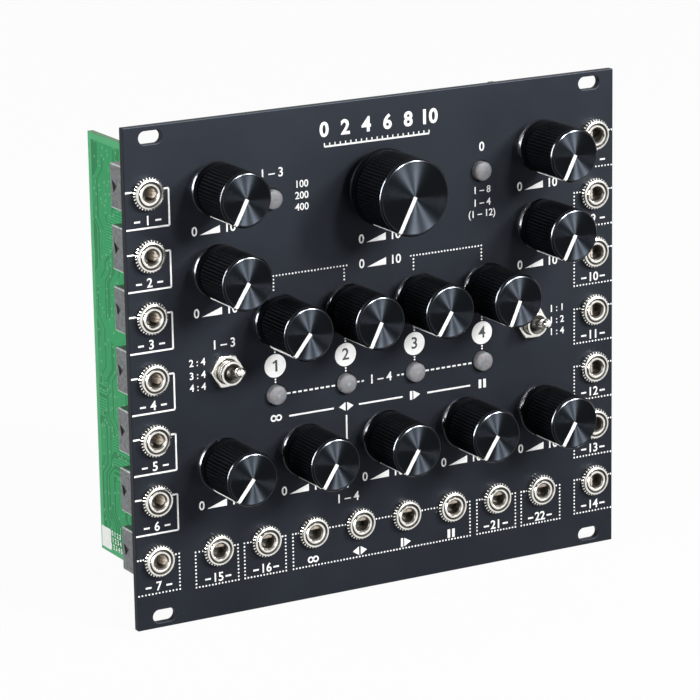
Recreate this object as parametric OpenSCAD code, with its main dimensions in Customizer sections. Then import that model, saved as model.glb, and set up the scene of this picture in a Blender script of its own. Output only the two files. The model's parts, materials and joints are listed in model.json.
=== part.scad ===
// Eurorack delay module: a rack panel with dials, sockets, buttons and toggle
// switches, and the circuit boards that they are soldered to.
// The part has x to the right, y from front to back and z up. Its origin is on
// the panel's rear face, midway between the four rack slots.

/* [Panel] */
// Width of the panel, 28 rack units less a fitting gap
panel_w = 141.9; // [138:0.1:152]
// Height of the panel
panel_h = 128.5; // [126:0.1:136]
// Thickness of the panel
panel_t = 2; // [1.5:0.1:3]
// Distance of the rack slots from the panel's side edges
slot_inset_x = 7.45; // [6:0.05:10]
// Distance of the rack slots from the panel's upper and lower edges
slot_inset_z = 3; // [2.5:0.1:4]
// Width of a rack slot
slot_w = 3.4; // [3:0.1:4]
// Length of a rack slot from end to end
slot_l = 6.4; // [4.5:0.1:8]

/* [Sockets] */
// Distance of a socket column from the panel's side edge
jack_inset = 6.1; // [5:0.1:8]
// Height of the middle socket of a column
jack_mid_z = 0.55; // [-3:0.05:3]
// Distance between the sockets of a column
jack_pitch_z = 15.65; // [12:0.05:16.5]
// Distance of the bottom row's end sockets from the panel's side edges
jack_row_inset = 22.825; // [20:0.025:26]
// Diameter of the plug hole
jack_bore_d = 3.6; // [3.4:0.05:4]
// Depth of the plug hole behind the panel
jack_bore_depth = 10; // [9:0.5:11]
// Outside diameter of the socket's threaded bushing
jack_bushing_d = 6; // [5.5:0.1:6.5]
// Width of the bevel at the mouth of the plug hole
jack_mouth = 0.4; // [0.2:0.1:0.6]
// Outside diameter of the socket nut over its teeth
jack_nut_d = 8.4; // [8:0.1:9]
// Diameter of the smooth rim above those teeth
jack_rim_d = 7.6; // [7.4:0.1:8]
// Thickness of the socket nut
jack_nut_t = 2; // [1.6:0.1:3]
// Height of the toothed part of the socket nut
jack_tooth_h = 1.2; // [0.8:0.1:1.4]
// Depth of the teeth of the socket nut
jack_tooth_t = 0.5; // [0.2:0.05:0.5]
// Number of teeth on the socket nut
jack_teeth = 36; // [20:1:40]
// Size of the socket housing along its board
housing_h = 11.4; // [9:0.1:11.8]
// Depth of the socket housing behind the panel
housing_d = 12.1; // [11.5:0.1:14]
// Distance from the plug hole's axis to the housing's outer face
jack_wall = 3.1; // [3:0.1:4]
// Distance from the plug hole's axis to its board
jack_rise = 4.5; // [4:0.1:5.5]
// Depth of the notch in the housing's outer face
notch_t = 0.8; // [0.4:0.1:0.9]
// Size of the notch along and across the housing
notch_w = 3; // [2:0.1:4]
// Distance of the notch from the housing's rear face
notch_inset = 1; // [0.6:0.1:2]
// Width of a contact strip
contact_w = 1.4; // [1:0.1:1.8]
// Thickness of a contact strip
contact_t = 0.25; // [0.15:0.05:0.4]
// Depth behind the panel at which a contact strip starts
contact_start = 3; // [2.5:0.1:4]
// Length of a contact strip
contact_l = 6; // [5:0.1:6.2]
// Clearance round a contact strip in its slot
contact_gap = 0.1; // [0.05:0.05:0.2]
// Wall between a contact strip's slot and the board
contact_wall = 0.5; // [0.3:0.1:0.8]
// Distance of a contact strip from the plug hole
contact_clear = 0.3; // [0.2:0.1:0.6]

/* [Dials] */
// Distance of the outer dials from the panel's side edges
outer_dial_inset = 23.75; // [21:0.05:25]
// Height of the top pair of outer dials
top_dial_z = 47.05; // [46:0.05:50]
// Height of the second pair of outer dials
second_dial_z = 26.2; // [24:0.1:28]
// Height of the large dial
large_dial_z = 41.85; // [38:0.05:46]
// Height of the playback dials
playback_z = 11.15; // [10:0.05:13]
// Distance between the playback dials
playback_pitch = 20.32; // [19:0.02:21]
// Height of the bottom row of dials
low_dial_z = -23.55; // [-25:0.05:-22]
// Diameter of a small knob
knob_d = 14; // [12.5:0.1:16]
// Diameter of the large knob
large_knob_d = 19.8; // [17:0.1:24]
// Height of a knob
knob_h = 15.8; // [14.5:0.1:20]
// Gap between a dial's nut and its knob
knob_gap = 0.6; // [0.3:0.1:2]
// Height of the plain ring round a knob's foot
knob_ring_h = 2.2; // [1:0.1:3]
// Height of the groove above the ring
knob_groove_h = 0.8; // [0.5:0.1:1.5]
// Depth of the groove
knob_groove_t = 0.7; // [0.6:0.05:0.9]
// Width of the bevel round a knob's top
knob_bevel_w = 0.5; // [0.2:0.1:1]
// Height of the bevel round a knob's top
knob_bevel_h = 0.8; // [0.4:0.1:1.5]
// Depth of the flutes round a knob
flute_t = 0.35; // [0.2:0.05:0.4]
// Depth of the flutes' crests below the knob's bevelled rim
flute_lip = 0.1; // [0.02:0.01:0.15]
// Distance between the flutes round a knob
flute_pitch = 0.92; // [0.8:0.02:1.6]
// Width of the pointer line
pointer_w = 1; // [0.6:0.1:1.6]
// Depth of the pointer line
pointer_t = 0.25; // [0.15:0.05:0.4]
// Turn of the pointers from straight down at their lowest setting
pointer_rest = 30; // [10:1:50]
// Depth of the hollow under a knob
knob_hollow = 2.5; // [1.5:0.1:3]
// Thickness of the knob's wall round that hollow
knob_wall = 1.4; // [1:0.1:1.8]
// Length of shaft that a knob grips
shaft_grip = 8; // [6:0.1:9]
// Diameter of a dial's shaft
shaft_d = 6; // [5:0.05:6.2]
// Depth of the flat on a shaft's end
shaft_flat = 1.2; // [0.6:0.1:1.6]
// Clearance round a shaft that turns in its bushing
shaft_gap = 0.05; // [0.02:0.01:0.09]
// Clearance between a shaft and its knob
grip_gap = 0.02; // [0.01:0.01:0.05]
// Outside diameter of a dial's threaded bushing
pot_bushing_d = 7; // [6.8:0.05:7.5]
// Width of a dial's nut across its flats
pot_nut_af = 10; // [9.5:0.1:11]
// Thickness of a dial's nut
pot_nut_t = 1.9; // [1.5:0.1:2.5]
// Diameter of a dial's washer
pot_washer_d = 11; // [10:0.1:12]
// Thickness of a dial's washer
pot_washer_t = 0.5; // [0.3:0.1:0.8]
// Width of a dial's case
pot_w = 9.7; // [9.5:0.1:11]
// Height of a dial's case
pot_h = 11.4; // [10:0.1:12.5]
// Depth of a dial's case
pot_d = 6.8; // [6:0.1:8]
// Wall of a dial's case
pot_wall = 0.7; // [0.5:0.1:1]
// Thickness of the disc that a shaft turns inside the case
rotor_t = 1.4; // [1:0.1:2]
// Play round that disc
rotor_gap = 0.3; // [0.2:0.05:0.5]

/* [Buttons] */
// Height of the playback buttons
button_z = -8.5; // [-9.5:0.1:-6]
// Distance of the two top buttons from the middle
top_button_x = 30.48; // [28:0.02:32]
// Height of the two top buttons
top_button_z = 41.95; // [39:0.05:45]
// Diameter of a button
button_d = 5; // [4.6:0.1:7]
// Height of a button above the panel
button_rise = 1.9; // [1.2:0.1:2.5]
// Rise of a button's domed face
button_dome = 0.25; // [0.1:0.05:0.5]
// Width of the bevel round that face
button_bevel = 0.4; // [0.2:0.05:0.6]
// Travel of a button
button_travel = 0.6; // [0.3:0.05:0.8]
// Clearance round a button in the panel
button_gap = 0.15; // [0.1:0.05:0.3]
// Width of the collar that keeps a button in the panel
button_collar = 1; // [0.6:0.1:1.5]
// Thickness of that collar
button_collar_t = 0.8; // [0.5:0.1:1.2]
// Gap between that collar and the panel
button_stop_gap = 0.3; // [0.1:0.05:0.5]
// Diameter of a button's plunger
plunger_d = 3.5; // [2.5:0.1:4]
// Clearance round a plunger in its switch
plunger_gap = 0.05; // [0.02:0.01:0.09]
// Depth that a plunger reaches into its switch
plunger_in = 2; // [1.5:0.1:3]
// Width of a button's switch
switch_w = 6.2; // [5.5:0.1:8]
// Depth of a button's switch
switch_d = 5; // [4.8:0.1:6]

/* [Toggle switches] */
// Distance of a toggle switch from the middle
toggle_x = 44.85; // [42:0.05:46]
// Height of a toggle switch
toggle_z = 0; // [-3:0.1:3]
// Outside diameter of a toggle's threaded bushing
toggle_bushing_d = 6; // [5.5:0.1:6.5]
// Height of that bushing above the panel
toggle_rise = 4.5; // [3.5:0.1:6]
// Diameter of the hole through that bushing
toggle_bore_d = 3.6; // [3.2:0.1:4]
// Width of a toggle's nut across its flats
toggle_nut_af = 8; // [7.5:0.1:9]
// Thickness of a toggle's nut
toggle_nut_t = 2; // [1.5:0.1:2.5]
// Depth of a lever's pivot below the bushing's mouth
pivot_in = 1.5; // [1.2:0.1:2]
// Clearance round the lever's ball
ball_gap = 0.05; // [0.02:0.01:0.09]
// Length of a lever from its pivot to its tip
lever_l = 7.2; // [5:0.1:12]
// Diameter of a lever at its tip
lever_d = 2.5; // [2:0.1:3]
// Diameter of a lever at its neck
lever_neck_d = 1.8; // [1.4:0.1:2]
// Height of that neck above the lever's ball
lever_neck_h = 0.3; // [0.1:0.1:0.8]
// Tilt of a lever in its upper and lower settings
lever_tilt = 13; // [8:0.5:15]
// Width of a toggle's case
toggle_w = 7; // [6.5:0.1:9]
// Height of a toggle's case
toggle_h = 12.7; // [10:0.1:13]

/* [Boards] */
// Thickness of a circuit board
board_t = 1.6; // [1:0.1:2]
// Height of the side boards
side_board_h = 111; // [108:0.5:114]
// Distance from the panel to the rear edge of the side boards
side_board_d = 40.5; // [39:0.5:48]
// Distance from the panel to the front edge of the socket boards
board_front_gap = 0.3; // [0.2:0.1:0.8]
// Gap where the edge of one board meets another board
board_fit = 0.2; // [0.1:0.05:0.4]
// Distance from the panel to the control board
control_gap = 11; // [10.5:0.1:12]
// Distance from the control board to the main board
stack_gap = 16.8; // [14:0.1:18]
// Distance from the panel's middle to the upper edge of the control board
control_top = 54; // [53:0.5:55]
// Distance from the panel's middle to the upper edge of the main board
main_top = 50; // [48.5:0.5:52]
// Width of a standoff across its flats
standoff_af = 5.5; // [5:0.1:6]
// Distance of the standoffs from the edges of their boards
standoff_inset = 4.5; // [4:0.1:5]
// Diameter of the standoff screws
screw_d = 3; // [2:0.1:3.2]
// Clearance round those screws
screw_gap = 0.05; // [0.02:0.01:0.1]
// Length of a screw in its standoff
screw_in = 6; // [4:0.5:6.5]
// Diameter of a screw's head
screw_head_d = 5.6; // [4.5:0.1:6]
// Height of a screw's head
screw_head_t = 1.9; // [1:0.1:2.2]
// Length of the connectors between the two boards
stack_plug_l = 50.8; // [40:0.1:60]
// Length of the connectors between a socket board and another board
edge_plug_l = 40; // [30:1:40]
// Width of all these connectors
plug_w = 5; // [4:0.1:5.5]
// Reach of an edge connector from the board that it meets
edge_plug_reach = 8.5; // [6:0.1:10]
// Height of the upper connector between the two boards
upper_plug_z = 30; // [24:0.5:40]
// Height of the lower connector between the two boards
lower_plug_z = -18; // [-22:0.5:-10]

/* [Power and parts] */
// Height of the power header on the main board
header_z = -27; // [-30:0.5:-24]
// Length of the power header
header_l = 30.5; // [28:0.1:34]
// Width of the power header
header_w = 9; // [8:0.1:10]
// Height of the power header above its board
header_h = 9; // [8:0.1:9.2]
// Wall of the power header
header_wall = 1.1; // [0.8:0.1:1.4]
// Floor of the power header
header_floor = 2; // [1.5:0.1:3]
// Width of the key slot in the power header's wall
header_key_w = 4.5; // [3:0.1:6]
// Number of pins along the power header
header_pins = 8; // [5:1:8]
// Distance between pins
pin_pitch = 2.54; // [2:0.01:2.6]
// Width of a pin
pin_w = 0.64; // [0.5:0.02:0.8]
// Height of the pins above the header's floor
pin_h = 5.8; // [4:0.1:5.9]
// Distance from the power header to the nearest can capacitors
cap_clear = 7.6; // [2:0.1:10]
// Distance between can capacitors
cap_pitch = 10; // [8:0.1:10.5]
// Diameter of a can capacitor
cap_d = 6.3; // [5:0.1:6.5]
// Height of a can capacitor
cap_h = 7.7; // [5:0.1:8]
// Thickness of a can capacitor's base
cap_base_t = 1; // [0.6:0.1:1.4]
// Width of that base beyond the can
cap_base_rim = 0.15; // [0.1:0.05:0.3]
// Thickness of a circuit chip
chip_t = 1.5; // [1:0.1:2]
// Height of the row of large chips on the main board
large_chip_z = 24; // [20:0.5:28]
// Gap between large chips
chip_gap = 8; // [5:0.5:10]
// Width of the processor
processor_w = 20; // [14:0.5:22]
// Width of a memory chip
memory_w = 10; // [8:0.1:12]
// Length of a memory chip
memory_l = 22; // [18:0.5:24]
// Width of the converter
converter_w = 10; // [7:0.5:12]
// Length of an amplifier
amp_l = 8.7; // [5:0.1:9]
// Width of an amplifier
amp_w = 4; // [3:0.1:4.5]
// Distance between the amplifiers of a row
amp_pitch = 13; // [11:0.1:13.5]
// Height of the upper row of amplifiers
upper_amp_z = 45; // [42:0.5:46]
// Height of the lower row of amplifiers
lower_amp_z = 2; // [-4:0.5:6]

/* [Hidden] */
$fn = 48;
// Distance that a cut runs past the face it opens
over = 0.5;
// Clearance round the parts that pass through the panel or a thread
hole_gap = 0.1;
thread_gap = 0.05;
// Play at the end of a blind hole
end_gap = 0.4;
// Depth of the pointer line below the flutes on a knob's side
line_depth = 0.05;

// Heights are measured out of the panel's front, from its rear face.
slot_x = panel_w / 2 - slot_inset_x;
slot_z = panel_h / 2 - slot_inset_z;
jack_x = panel_w / 2 - jack_inset;
jack_rows = 7;
jack_cols = 8;
jack_pitch_x = (panel_w - 2 * jack_row_inset) / (jack_cols - 1);
jack_bottom_z = jack_mid_z - (jack_rows - 1) / 2 * jack_pitch_z;
jack_column_z = [for (i = [0 : jack_rows - 1]) jack_bottom_z + i * jack_pitch_z];
jack_row_x = [for (i = [0 : jack_cols - 1]) (i - (jack_cols - 1) / 2) * jack_pitch_x];
jack_top = panel_t + jack_nut_t;
jack_nut_bevel = jack_nut_t - jack_tooth_h;

// The contact strip lies in a slot between the plug hole and the board, and a
// tab of it shows in the notch.
contact_slot_w = contact_w + 2 * contact_gap;
contact_floor = jack_rise - contact_wall;
contact_near = jack_bore_d / 2 + contact_clear;
contact_to = -contact_start;
contact_from = contact_to - contact_l;
notch_foot = notch_inset - housing_d;

// The socket boards stand behind the sockets, with their outer faces on them.
side_face = jack_x - jack_rise;
side_inner = side_face - board_t;
bottom_face = jack_bottom_z + jack_rise;
bottom_top = bottom_face + board_t;
inner_w = 2 * (side_inner - board_fit);
inner_low = bottom_top + board_fit;
control_front = -control_gap;
control_back = control_front - board_t;
main_front = control_back - stack_gap;
main_back = main_front - board_t;
header_face = main_back - header_floor;

pot_top = panel_t + pot_washer_t + pot_nut_t;
pot_front = control_front + pot_d;
knob_foot = pot_top + knob_gap;
knob_top = knob_foot + knob_h;
shaft_top = knob_foot + knob_hollow + shaft_grip;
rotor_d = pot_w - 2 * pot_wall - 2 * rotor_gap;

button_top = panel_t + button_rise;
switch_front = control_front + switch_d;
plunger_end = switch_front - plunger_in;
toggle_mouth = panel_t + toggle_rise;
pivot = toggle_mouth - pivot_in;

standoff_x = inner_w / 2 - standoff_inset;
standoff_z = [(top_dial_z + second_dial_z) / 2, inner_low + standoff_inset];
standoff_points = [for (s = [-1, 1], z = standoff_z) [s * standoff_x, z]];

// Each dial has a name, a place, the diameter of its knob and the degrees that its
// pointer is off the rest turn, since a knob is set on its shaft by eye.
outer_dial_x = panel_w / 2 - outer_dial_inset;
playback_x = [for (i = [0 : 3]) (i - 1.5) * playback_pitch];
dials = [
    ["dry", "", [-outer_dial_x, top_dial_z], knob_d, -2],
    ["wet", "", [outer_dial_x, top_dial_z], knob_d, -3],
    ["record", "", [-outer_dial_x, second_dial_z], knob_d, 3],
    ["repeats", "", [outer_dial_x, second_dial_z], knob_d, -2],
    ["speed", "", [0, large_dial_z], large_knob_d, -2.5],
    ["playback", "_1", [playback_x[0], playback_z], knob_d, 9],
    ["playback", "_2", [playback_x[1], playback_z], knob_d, -3],
    ["playback", "_3", [playback_x[2], playback_z], knob_d, 2.5],
    ["playback", "_4", [playback_x[3], playback_z], knob_d, -6.5],
    ["low_cut", "", [-outer_dial_x, low_dial_z], knob_d, 9],
    ["age", "", [-outer_dial_x / 2, low_dial_z], knob_d, 3],
    ["texture", "", [0, low_dial_z], knob_d, 2],
    ["flutter", "", [outer_dial_x / 2, low_dial_z], knob_d, 3.5],
    ["reverb", "", [outer_dial_x, low_dial_z], knob_d, 2],
];
buttons = [
    ["playback_button_1", [playback_x[0], button_z]],
    ["playback_button_2", [playback_x[1], button_z]],
    ["playback_button_3", [playback_x[2], button_z]],
    ["playback_button_4", [playback_x[3], button_z]],
    ["mode_button", [-top_button_x, top_button_z]],
    ["tap_button", [top_button_x, top_button_z]],
];
toggles = [
    ["left_toggle_lever", [-toggle_x, toggle_z]],
    ["right_toggle_lever", [toggle_x, toggle_z]],
];
// On the rear of the main board, one processor, two memories and one converter
// stand side by side between two rows of amplifiers.
large_chips = [
    [processor_w, processor_w],
    [memory_w, memory_l],
    [memory_w, memory_l],
    [converter_w, converter_w],
];
function chips_before(n) = n == 0 ? 0 : chips_before(n - 1) + large_chips[n - 1][0] + chip_gap;
large_row_w = chips_before(len(large_chips)) - chip_gap;
amp_cols = 8;
// Place and size of each chip
chips = concat(
    [for (i = [0 : len(large_chips) - 1])
        [[chips_before(i) + (large_chips[i][0] - large_row_w) / 2, large_chip_z], large_chips[i]]],
    [for (i = [0 : amp_cols - 1], z = [upper_amp_z, lower_amp_z])
        [[(i - (amp_cols - 1) / 2) * amp_pitch, z], [amp_l, amp_w]]]
);
cap_x = header_l / 2 + cap_clear + cap_d / 2;
capacitor_points = [
    for (s = [-1, 1], i = [0 : 2], j = [0, 1]) [s * (cap_x + i * cap_pitch), header_z + j * cap_pitch]
];

fixed_nodes = [
    "front_panel", "left_jack_board", "right_jack_board", "bottom_jack_board",
    "control_board", "main_board", "jack_housings", "jack_bushings", "jack_nuts",
    "jack_contacts", "pot_bodies", "pot_bushings", "pot_washers", "hex_nuts",
    "toggle_bodies", "toggle_bushings", "button_switches", "power_header",
    "power_pins", "board_connectors", "board_standoffs", "standoff_screws",
    "circuit_chips", "capacitors",
];

// Stands a shape that is drawn facing the viewer, with its z out of the panel.
module upright() {
    rotate([90, 0, 0]) children();
}

module at(place) {
    translate([place[0], place[1], 0]) children();
}

// A straight piece between two heights.
module rise(from, to) {
    translate([0, 0, from]) linear_extrude(to - from) children();
}

// Places a socket at each of its points, turned so that its board lies at +x.
module each_jack() {
    for (z = jack_column_z) {
        at([-jack_x, z]) children();
        at([jack_x, z]) rotate(180) children();
    }
    for (x = jack_row_x) at([x, jack_bottom_z]) rotate(90) children();
}

module each_dial() {
    for (d = dials) at(d[2]) children();
}

module each_button() {
    for (b = buttons) at(b[1]) children();
}

module each_toggle() {
    for (t = toggles) at(t[1]) children();
}

module ring(outer_d, inner_d) {
    difference() {
        circle(d = outer_d);
        circle(d = inner_d);
    }
}

module hexagon(across_flats) {
    circle(d = across_flats / cos(30), $fn = 6);
}

// Outline with a number of pointed teeth.
module toothed(count, outer_r, inner_r) {
    polygon([
        for (i = [0 : 2 * count - 1])
            let (r = i % 2 == 0 ? outer_r : inner_r, a = 180 * i / count)
                [r * cos(a), r * sin(a)]
    ]);
}

module slot() {
    square([slot_l - slot_w, slot_w], center = true);
    for (s = [-1, 1]) translate([s * (slot_l - slot_w) / 2, 0]) circle(d = slot_w);
}

module front_panel() {
    color("#16181d") upright() rise(0, panel_t) difference() {
        square([panel_w, panel_h], center = true);
        for (x = [-1, 1], z = [-1, 1]) at([x * slot_x, z * slot_z]) slot();
        each_jack() circle(d = jack_bushing_d + 2 * hole_gap);
        each_dial() circle(d = pot_bushing_d + 2 * hole_gap);
        each_button() circle(d = button_d + 2 * button_gap);
        each_toggle() circle(d = toggle_bushing_d + 2 * hole_gap);
    }
}

module jack_board() {
    rise(-side_board_d, -board_front_gap)
        translate([-side_face, -side_board_h / 2]) square([board_t, side_board_h]);
}

module left_jack_board() {
    color("#2f9a55") upright() jack_board();
}

module right_jack_board() {
    color("#2f9a55") upright() mirror([1, 0, 0]) jack_board();
}

module bottom_jack_board() {
    color("#2f9a55") upright() rise(main_back, -board_front_gap)
        translate([-inner_w / 2, bottom_face]) square([inner_w, board_t]);
}

module inner_board(back, top) {
    rise(back, back + board_t) difference() {
        translate([-inner_w / 2, inner_low]) square([inner_w, top - inner_low]);
        for (p = standoff_points) at(p) circle(d = screw_d + 2 * hole_gap);
    }
}

module control_board() {
    color("#2f9a55") upright() inner_board(control_back, control_top);
}

module main_board() {
    color("#2f9a55") upright() inner_board(main_back, main_top);
}

module jack_housing() {
    difference() {
        rise(-housing_d, 0) translate([-jack_wall, -housing_h / 2])
            square([jack_wall + jack_rise, housing_h]);
        rise(-jack_bore_depth, over) circle(d = jack_bore_d);
        rise(contact_from, contact_to) translate([0, -contact_slot_w / 2])
            square([contact_floor, contact_slot_w]);
        rise(notch_foot, notch_foot + notch_w) translate([-jack_wall - over, -notch_w / 2])
            square([notch_t + over, notch_w]);
    }
}

module jack_housings() {
    color("#4a4a52") upright() each_jack() jack_housing();
}

module jack_bushings() {
    color("#d8d2c4") upright() each_jack() rotate_extrude() polygon([
        [jack_bore_d / 2, 0],
        [jack_bushing_d / 2, 0],
        [jack_bushing_d / 2, jack_top - jack_mouth],
        [jack_bushing_d / 2 - jack_mouth, jack_top],
        [jack_bore_d / 2 + jack_mouth, jack_top],
        [jack_bore_d / 2, jack_top - jack_mouth],
    ]);
}

module jack_nut() {
    hole_r = jack_bushing_d / 2 + thread_gap;
    rim_r = jack_rim_d / 2;
    tooth_top = panel_t + jack_tooth_h;
    difference() {
        union() {
            rise(panel_t, tooth_top)
                toothed(jack_teeth, jack_nut_d / 2, jack_nut_d / 2 - jack_tooth_t);
            rotate_extrude() polygon([
                [0, panel_t],
                [rim_r - jack_tooth_t, panel_t],
                [rim_r - jack_tooth_t, tooth_top],
                [rim_r, tooth_top],
                [rim_r, jack_top - jack_nut_bevel / 2],
                [rim_r - jack_nut_bevel / 2, jack_top],
                [0, jack_top],
            ]);
        }
        rise(panel_t - over, jack_top + over) circle(r = hole_r);
    }
}

module jack_nuts() {
    color("#d8d2c4") upright() each_jack() jack_nut();
}

// Bent strip from the slot's floor to the side of the plug hole and back.
module jack_contact() {
    middle = (contact_from + contact_to) / 2;
    translate([0, contact_w / 2, 0]) rotate([90, 0, 0]) linear_extrude(contact_w) polygon([
        [contact_floor, contact_from],
        [contact_near, middle],
        [contact_floor - contact_t, contact_to],
        [contact_floor, contact_to],
        [contact_near + contact_t, middle],
        [contact_floor, contact_from + 2 * contact_t],
    ]);
    rise(notch_foot, notch_foot + notch_w / 2)
        translate([notch_t - jack_wall - contact_t, -contact_w / 2]) square([contact_t, contact_w]);
}

module jack_contacts() {
    color("#c8b98c") upright() each_jack() jack_contact();
}

module pot_body() {
    middle = (control_front + pot_front) / 2;
    difference() {
        rise(control_front, pot_front) square([pot_w, pot_h], center = true);
        rise(middle - rotor_t / 2 - rotor_gap, middle + rotor_t / 2 + rotor_gap)
            circle(d = rotor_d + 2 * rotor_gap);
        rise(middle, pot_front + over) circle(d = shaft_d + 2 * hole_gap);
    }
}

module pot_bodies() {
    color("#3d6a8c") upright() each_dial() pot_body();
}

module pot_bushings() {
    color("#cfc9bb") upright() each_dial()
        rise(pot_front, pot_top) ring(pot_bushing_d, shaft_d + 2 * shaft_gap);
}

module pot_washers() {
    color("#cfc9bb") upright() each_dial() rise(panel_t, panel_t + pot_washer_t)
        ring(pot_washer_d, pot_bushing_d + 2 * thread_gap);
}

// The nuts of the dials and of the toggle switches.
module hex_nuts() {
    color("#d8d2c4") upright() {
        each_dial() rise(panel_t + pot_washer_t, pot_top) difference() {
            hexagon(pot_nut_af);
            circle(d = pot_bushing_d + 2 * thread_gap);
        }
        each_toggle() rise(panel_t, panel_t + toggle_nut_t) difference() {
            hexagon(toggle_nut_af);
            circle(d = toggle_bushing_d + 2 * thread_gap);
        }
    }
}

// Round shaft end with a flat on the side away from the pointer.
module flatted(d, play) {
    intersection() {
        circle(d = d + 2 * play);
        translate([-d, -d / 2 - play]) square([2 * d, d - shaft_flat + 2 * play]);
    }
}

module shaft(dial) {
    middle = (control_front + pot_front) / 2;
    color("#b9b4a6") upright() at(dial[2]) rotate(-pointer_rest - dial[4]) {
        rise(middle - rotor_t / 2, middle + rotor_t / 2) circle(d = rotor_d);
        rise(middle, knob_foot + knob_hollow) circle(d = shaft_d);
        rise(knob_foot + knob_hollow - over, shaft_top) flatted(shaft_d, 0);
    }
}

// Knob with a plain foot ring, a groove, a fluted barrel and a bevelled top.
module knob_blank(d) {
    r = d / 2;
    flutes = round(PI * d / flute_pitch);
    ring_top = knob_foot + knob_ring_h;
    barrel_foot = ring_top + knob_groove_h;
    barrel_top = knob_top - knob_bevel_h;
    rotate_extrude() polygon([
        [0, knob_foot],
        [r, knob_foot],
        [r, ring_top],
        [r - knob_groove_t, ring_top],
        [r - knob_groove_t, barrel_top],
        [r, barrel_top],
        [r - knob_bevel_w, knob_top],
        [0, knob_top],
    ]);
    rise(barrel_foot, barrel_top) toothed(flutes, r - flute_lip, r - flute_lip - flute_t);
}

module knob(dial) {
    d = dial[3];
    line_foot = knob_foot + knob_ring_h + knob_groove_h;
    line_r = d / 2 - flute_lip - flute_t - line_depth;
    color("#17181b") upright() at(dial[2]) rotate(-pointer_rest - dial[4]) difference() {
        knob_blank(d);
        rise(knob_foot - over, knob_foot + knob_hollow) circle(d = d - 2 * knob_wall);
        rise(knob_foot, shaft_top + end_gap) flatted(shaft_d, grip_gap);
        rise(knob_top - pointer_t, knob_top + over) translate([-pointer_w / 2, -d])
            square([pointer_w, d]);
        rise(line_foot, knob_top + over) translate([-pointer_w / 2, -d])
            square([pointer_w, d - line_r]);
    }
}

module button_switches() {
    color("#202226") upright() each_button() difference() {
        rise(control_front, switch_front) square(switch_w, center = true);
        rise(plunger_end - button_travel - end_gap, switch_front + over)
            circle(d = plunger_d + 2 * plunger_gap);
    }
}

// Translucent cap with a bevelled, domed face, a collar behind the panel and a
// plunger.
module button(place) {
    r = button_d / 2;
    face_r = r - button_bevel;
    dome_r = (pow(face_r, 2) + pow(button_dome, 2)) / (2 * button_dome);
    collar_top = -button_stop_gap;
    collar_foot = collar_top - button_collar_t;
    color("#c4c6ca") upright() at(place) {
        intersection() {
            rotate_extrude() polygon([
                [0, collar_foot],
                [r, collar_foot],
                [r, button_top - button_dome - button_bevel],
                [face_r - button_dome, button_top],
                [0, button_top],
            ]);
            translate([0, 0, button_top - dome_r]) sphere(r = dome_r);
        }
        rise(collar_foot, collar_top) circle(d = button_d + 2 * button_collar);
        rise(plunger_end, collar_top) circle(d = plunger_d);
    }
}

module toggle_bodies() {
    color("#7a2f2a") upright() each_toggle()
        rise(control_front, 0) square([toggle_w, toggle_h], center = true);
}

module toggle_bushings() {
    color("#d8d2c4") upright() each_toggle()
        rise(0, toggle_mouth) ring(toggle_bushing_d, toggle_bore_d);
}

// Lever with a ball at its pivot, a waist and a fuller round tip.
module toggle_lever(place) {
    ball_r = toggle_bore_d / 2 - ball_gap;
    tip_r = lever_d / 2;
    color("#dcd6c8") upright() at(place) translate([0, 0, pivot]) rotate([-lever_tilt, 0, 0]) {
        sphere(r = ball_r);
        rotate_extrude() polygon([
            [0, 0],
            [lever_neck_d / 2, 0],
            [lever_neck_d / 2, ball_r + lever_neck_h],
            [tip_r, lever_l - tip_r],
            [0, lever_l - tip_r],
        ]);
        translate([0, 0, lever_l - tip_r]) sphere(r = tip_r);
    }
}

// Shroud with a key slot, open to the rear.
module power_header() {
    foot = main_back - header_h;
    color("#1c1d20") upright() at([0, header_z]) difference() {
        rise(foot, main_back) square([header_l, header_w], center = true);
        rise(foot - over, header_face)
            square([header_l - 2 * header_wall, header_w - 2 * header_wall], center = true);
        rise(foot - over, header_face) translate([-header_key_w / 2, -header_w])
            square([header_key_w, header_w]);
    }
}

module power_pins() {
    color("#c8b98c") upright() at([0, header_z])
        for (i = [0 : header_pins - 1], s = [-0.5, 0.5])
            at([(i - (header_pins - 1) / 2) * pin_pitch, s * pin_pitch])
                rise(header_face - pin_h, header_face) square(pin_w, center = true);
}

module board_connectors() {
    color("#1c1d20") upright() {
        for (z = [upper_plug_z, lower_plug_z]) at([0, z])
            rise(main_front, control_back) square([stack_plug_l, plug_w], center = true);
        for (s = [0, 1]) mirror([s, 0, 0])
            rise(main_front, main_front + plug_w) translate([-side_inner, -edge_plug_l / 2])
                square([edge_plug_reach, edge_plug_l]);
        rise(control_back - plug_w, control_back) translate([-edge_plug_l / 2, bottom_top])
            square([edge_plug_l, edge_plug_reach]);
    }
}

module board_standoffs() {
    color("#cdb46a") upright() for (p = standoff_points) at(p)
        rise(main_front, control_back) difference() {
            hexagon(standoff_af);
            circle(d = screw_d + 2 * screw_gap);
        }
}

// Screw whose head sits on z = 0 with its shank below.
module standoff_screw() {
    rise(0, screw_head_t) circle(d = screw_head_d);
    rise(-board_t - screw_in, 0) circle(d = screw_d);
}

module standoff_screws() {
    color("#b9bbbf") upright() for (p = standoff_points) at(p) {
        translate([0, 0, control_front]) standoff_screw();
        translate([0, 0, main_back]) mirror([0, 0, 1]) standoff_screw();
    }
}

module circuit_chips() {
    color("#232427") upright() for (c = chips) at(c[0])
        rise(main_back - chip_t, main_back) square(c[1], center = true);
}

module capacitors() {
    color("#b7babd") upright() for (p = capacitor_points) at(p) {
        rise(main_back - cap_base_t, main_back) square(cap_d + 2 * cap_base_rim, center = true);
        rise(main_back - cap_h, main_back - cap_base_t) circle(d = cap_d);
    }
}

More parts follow.
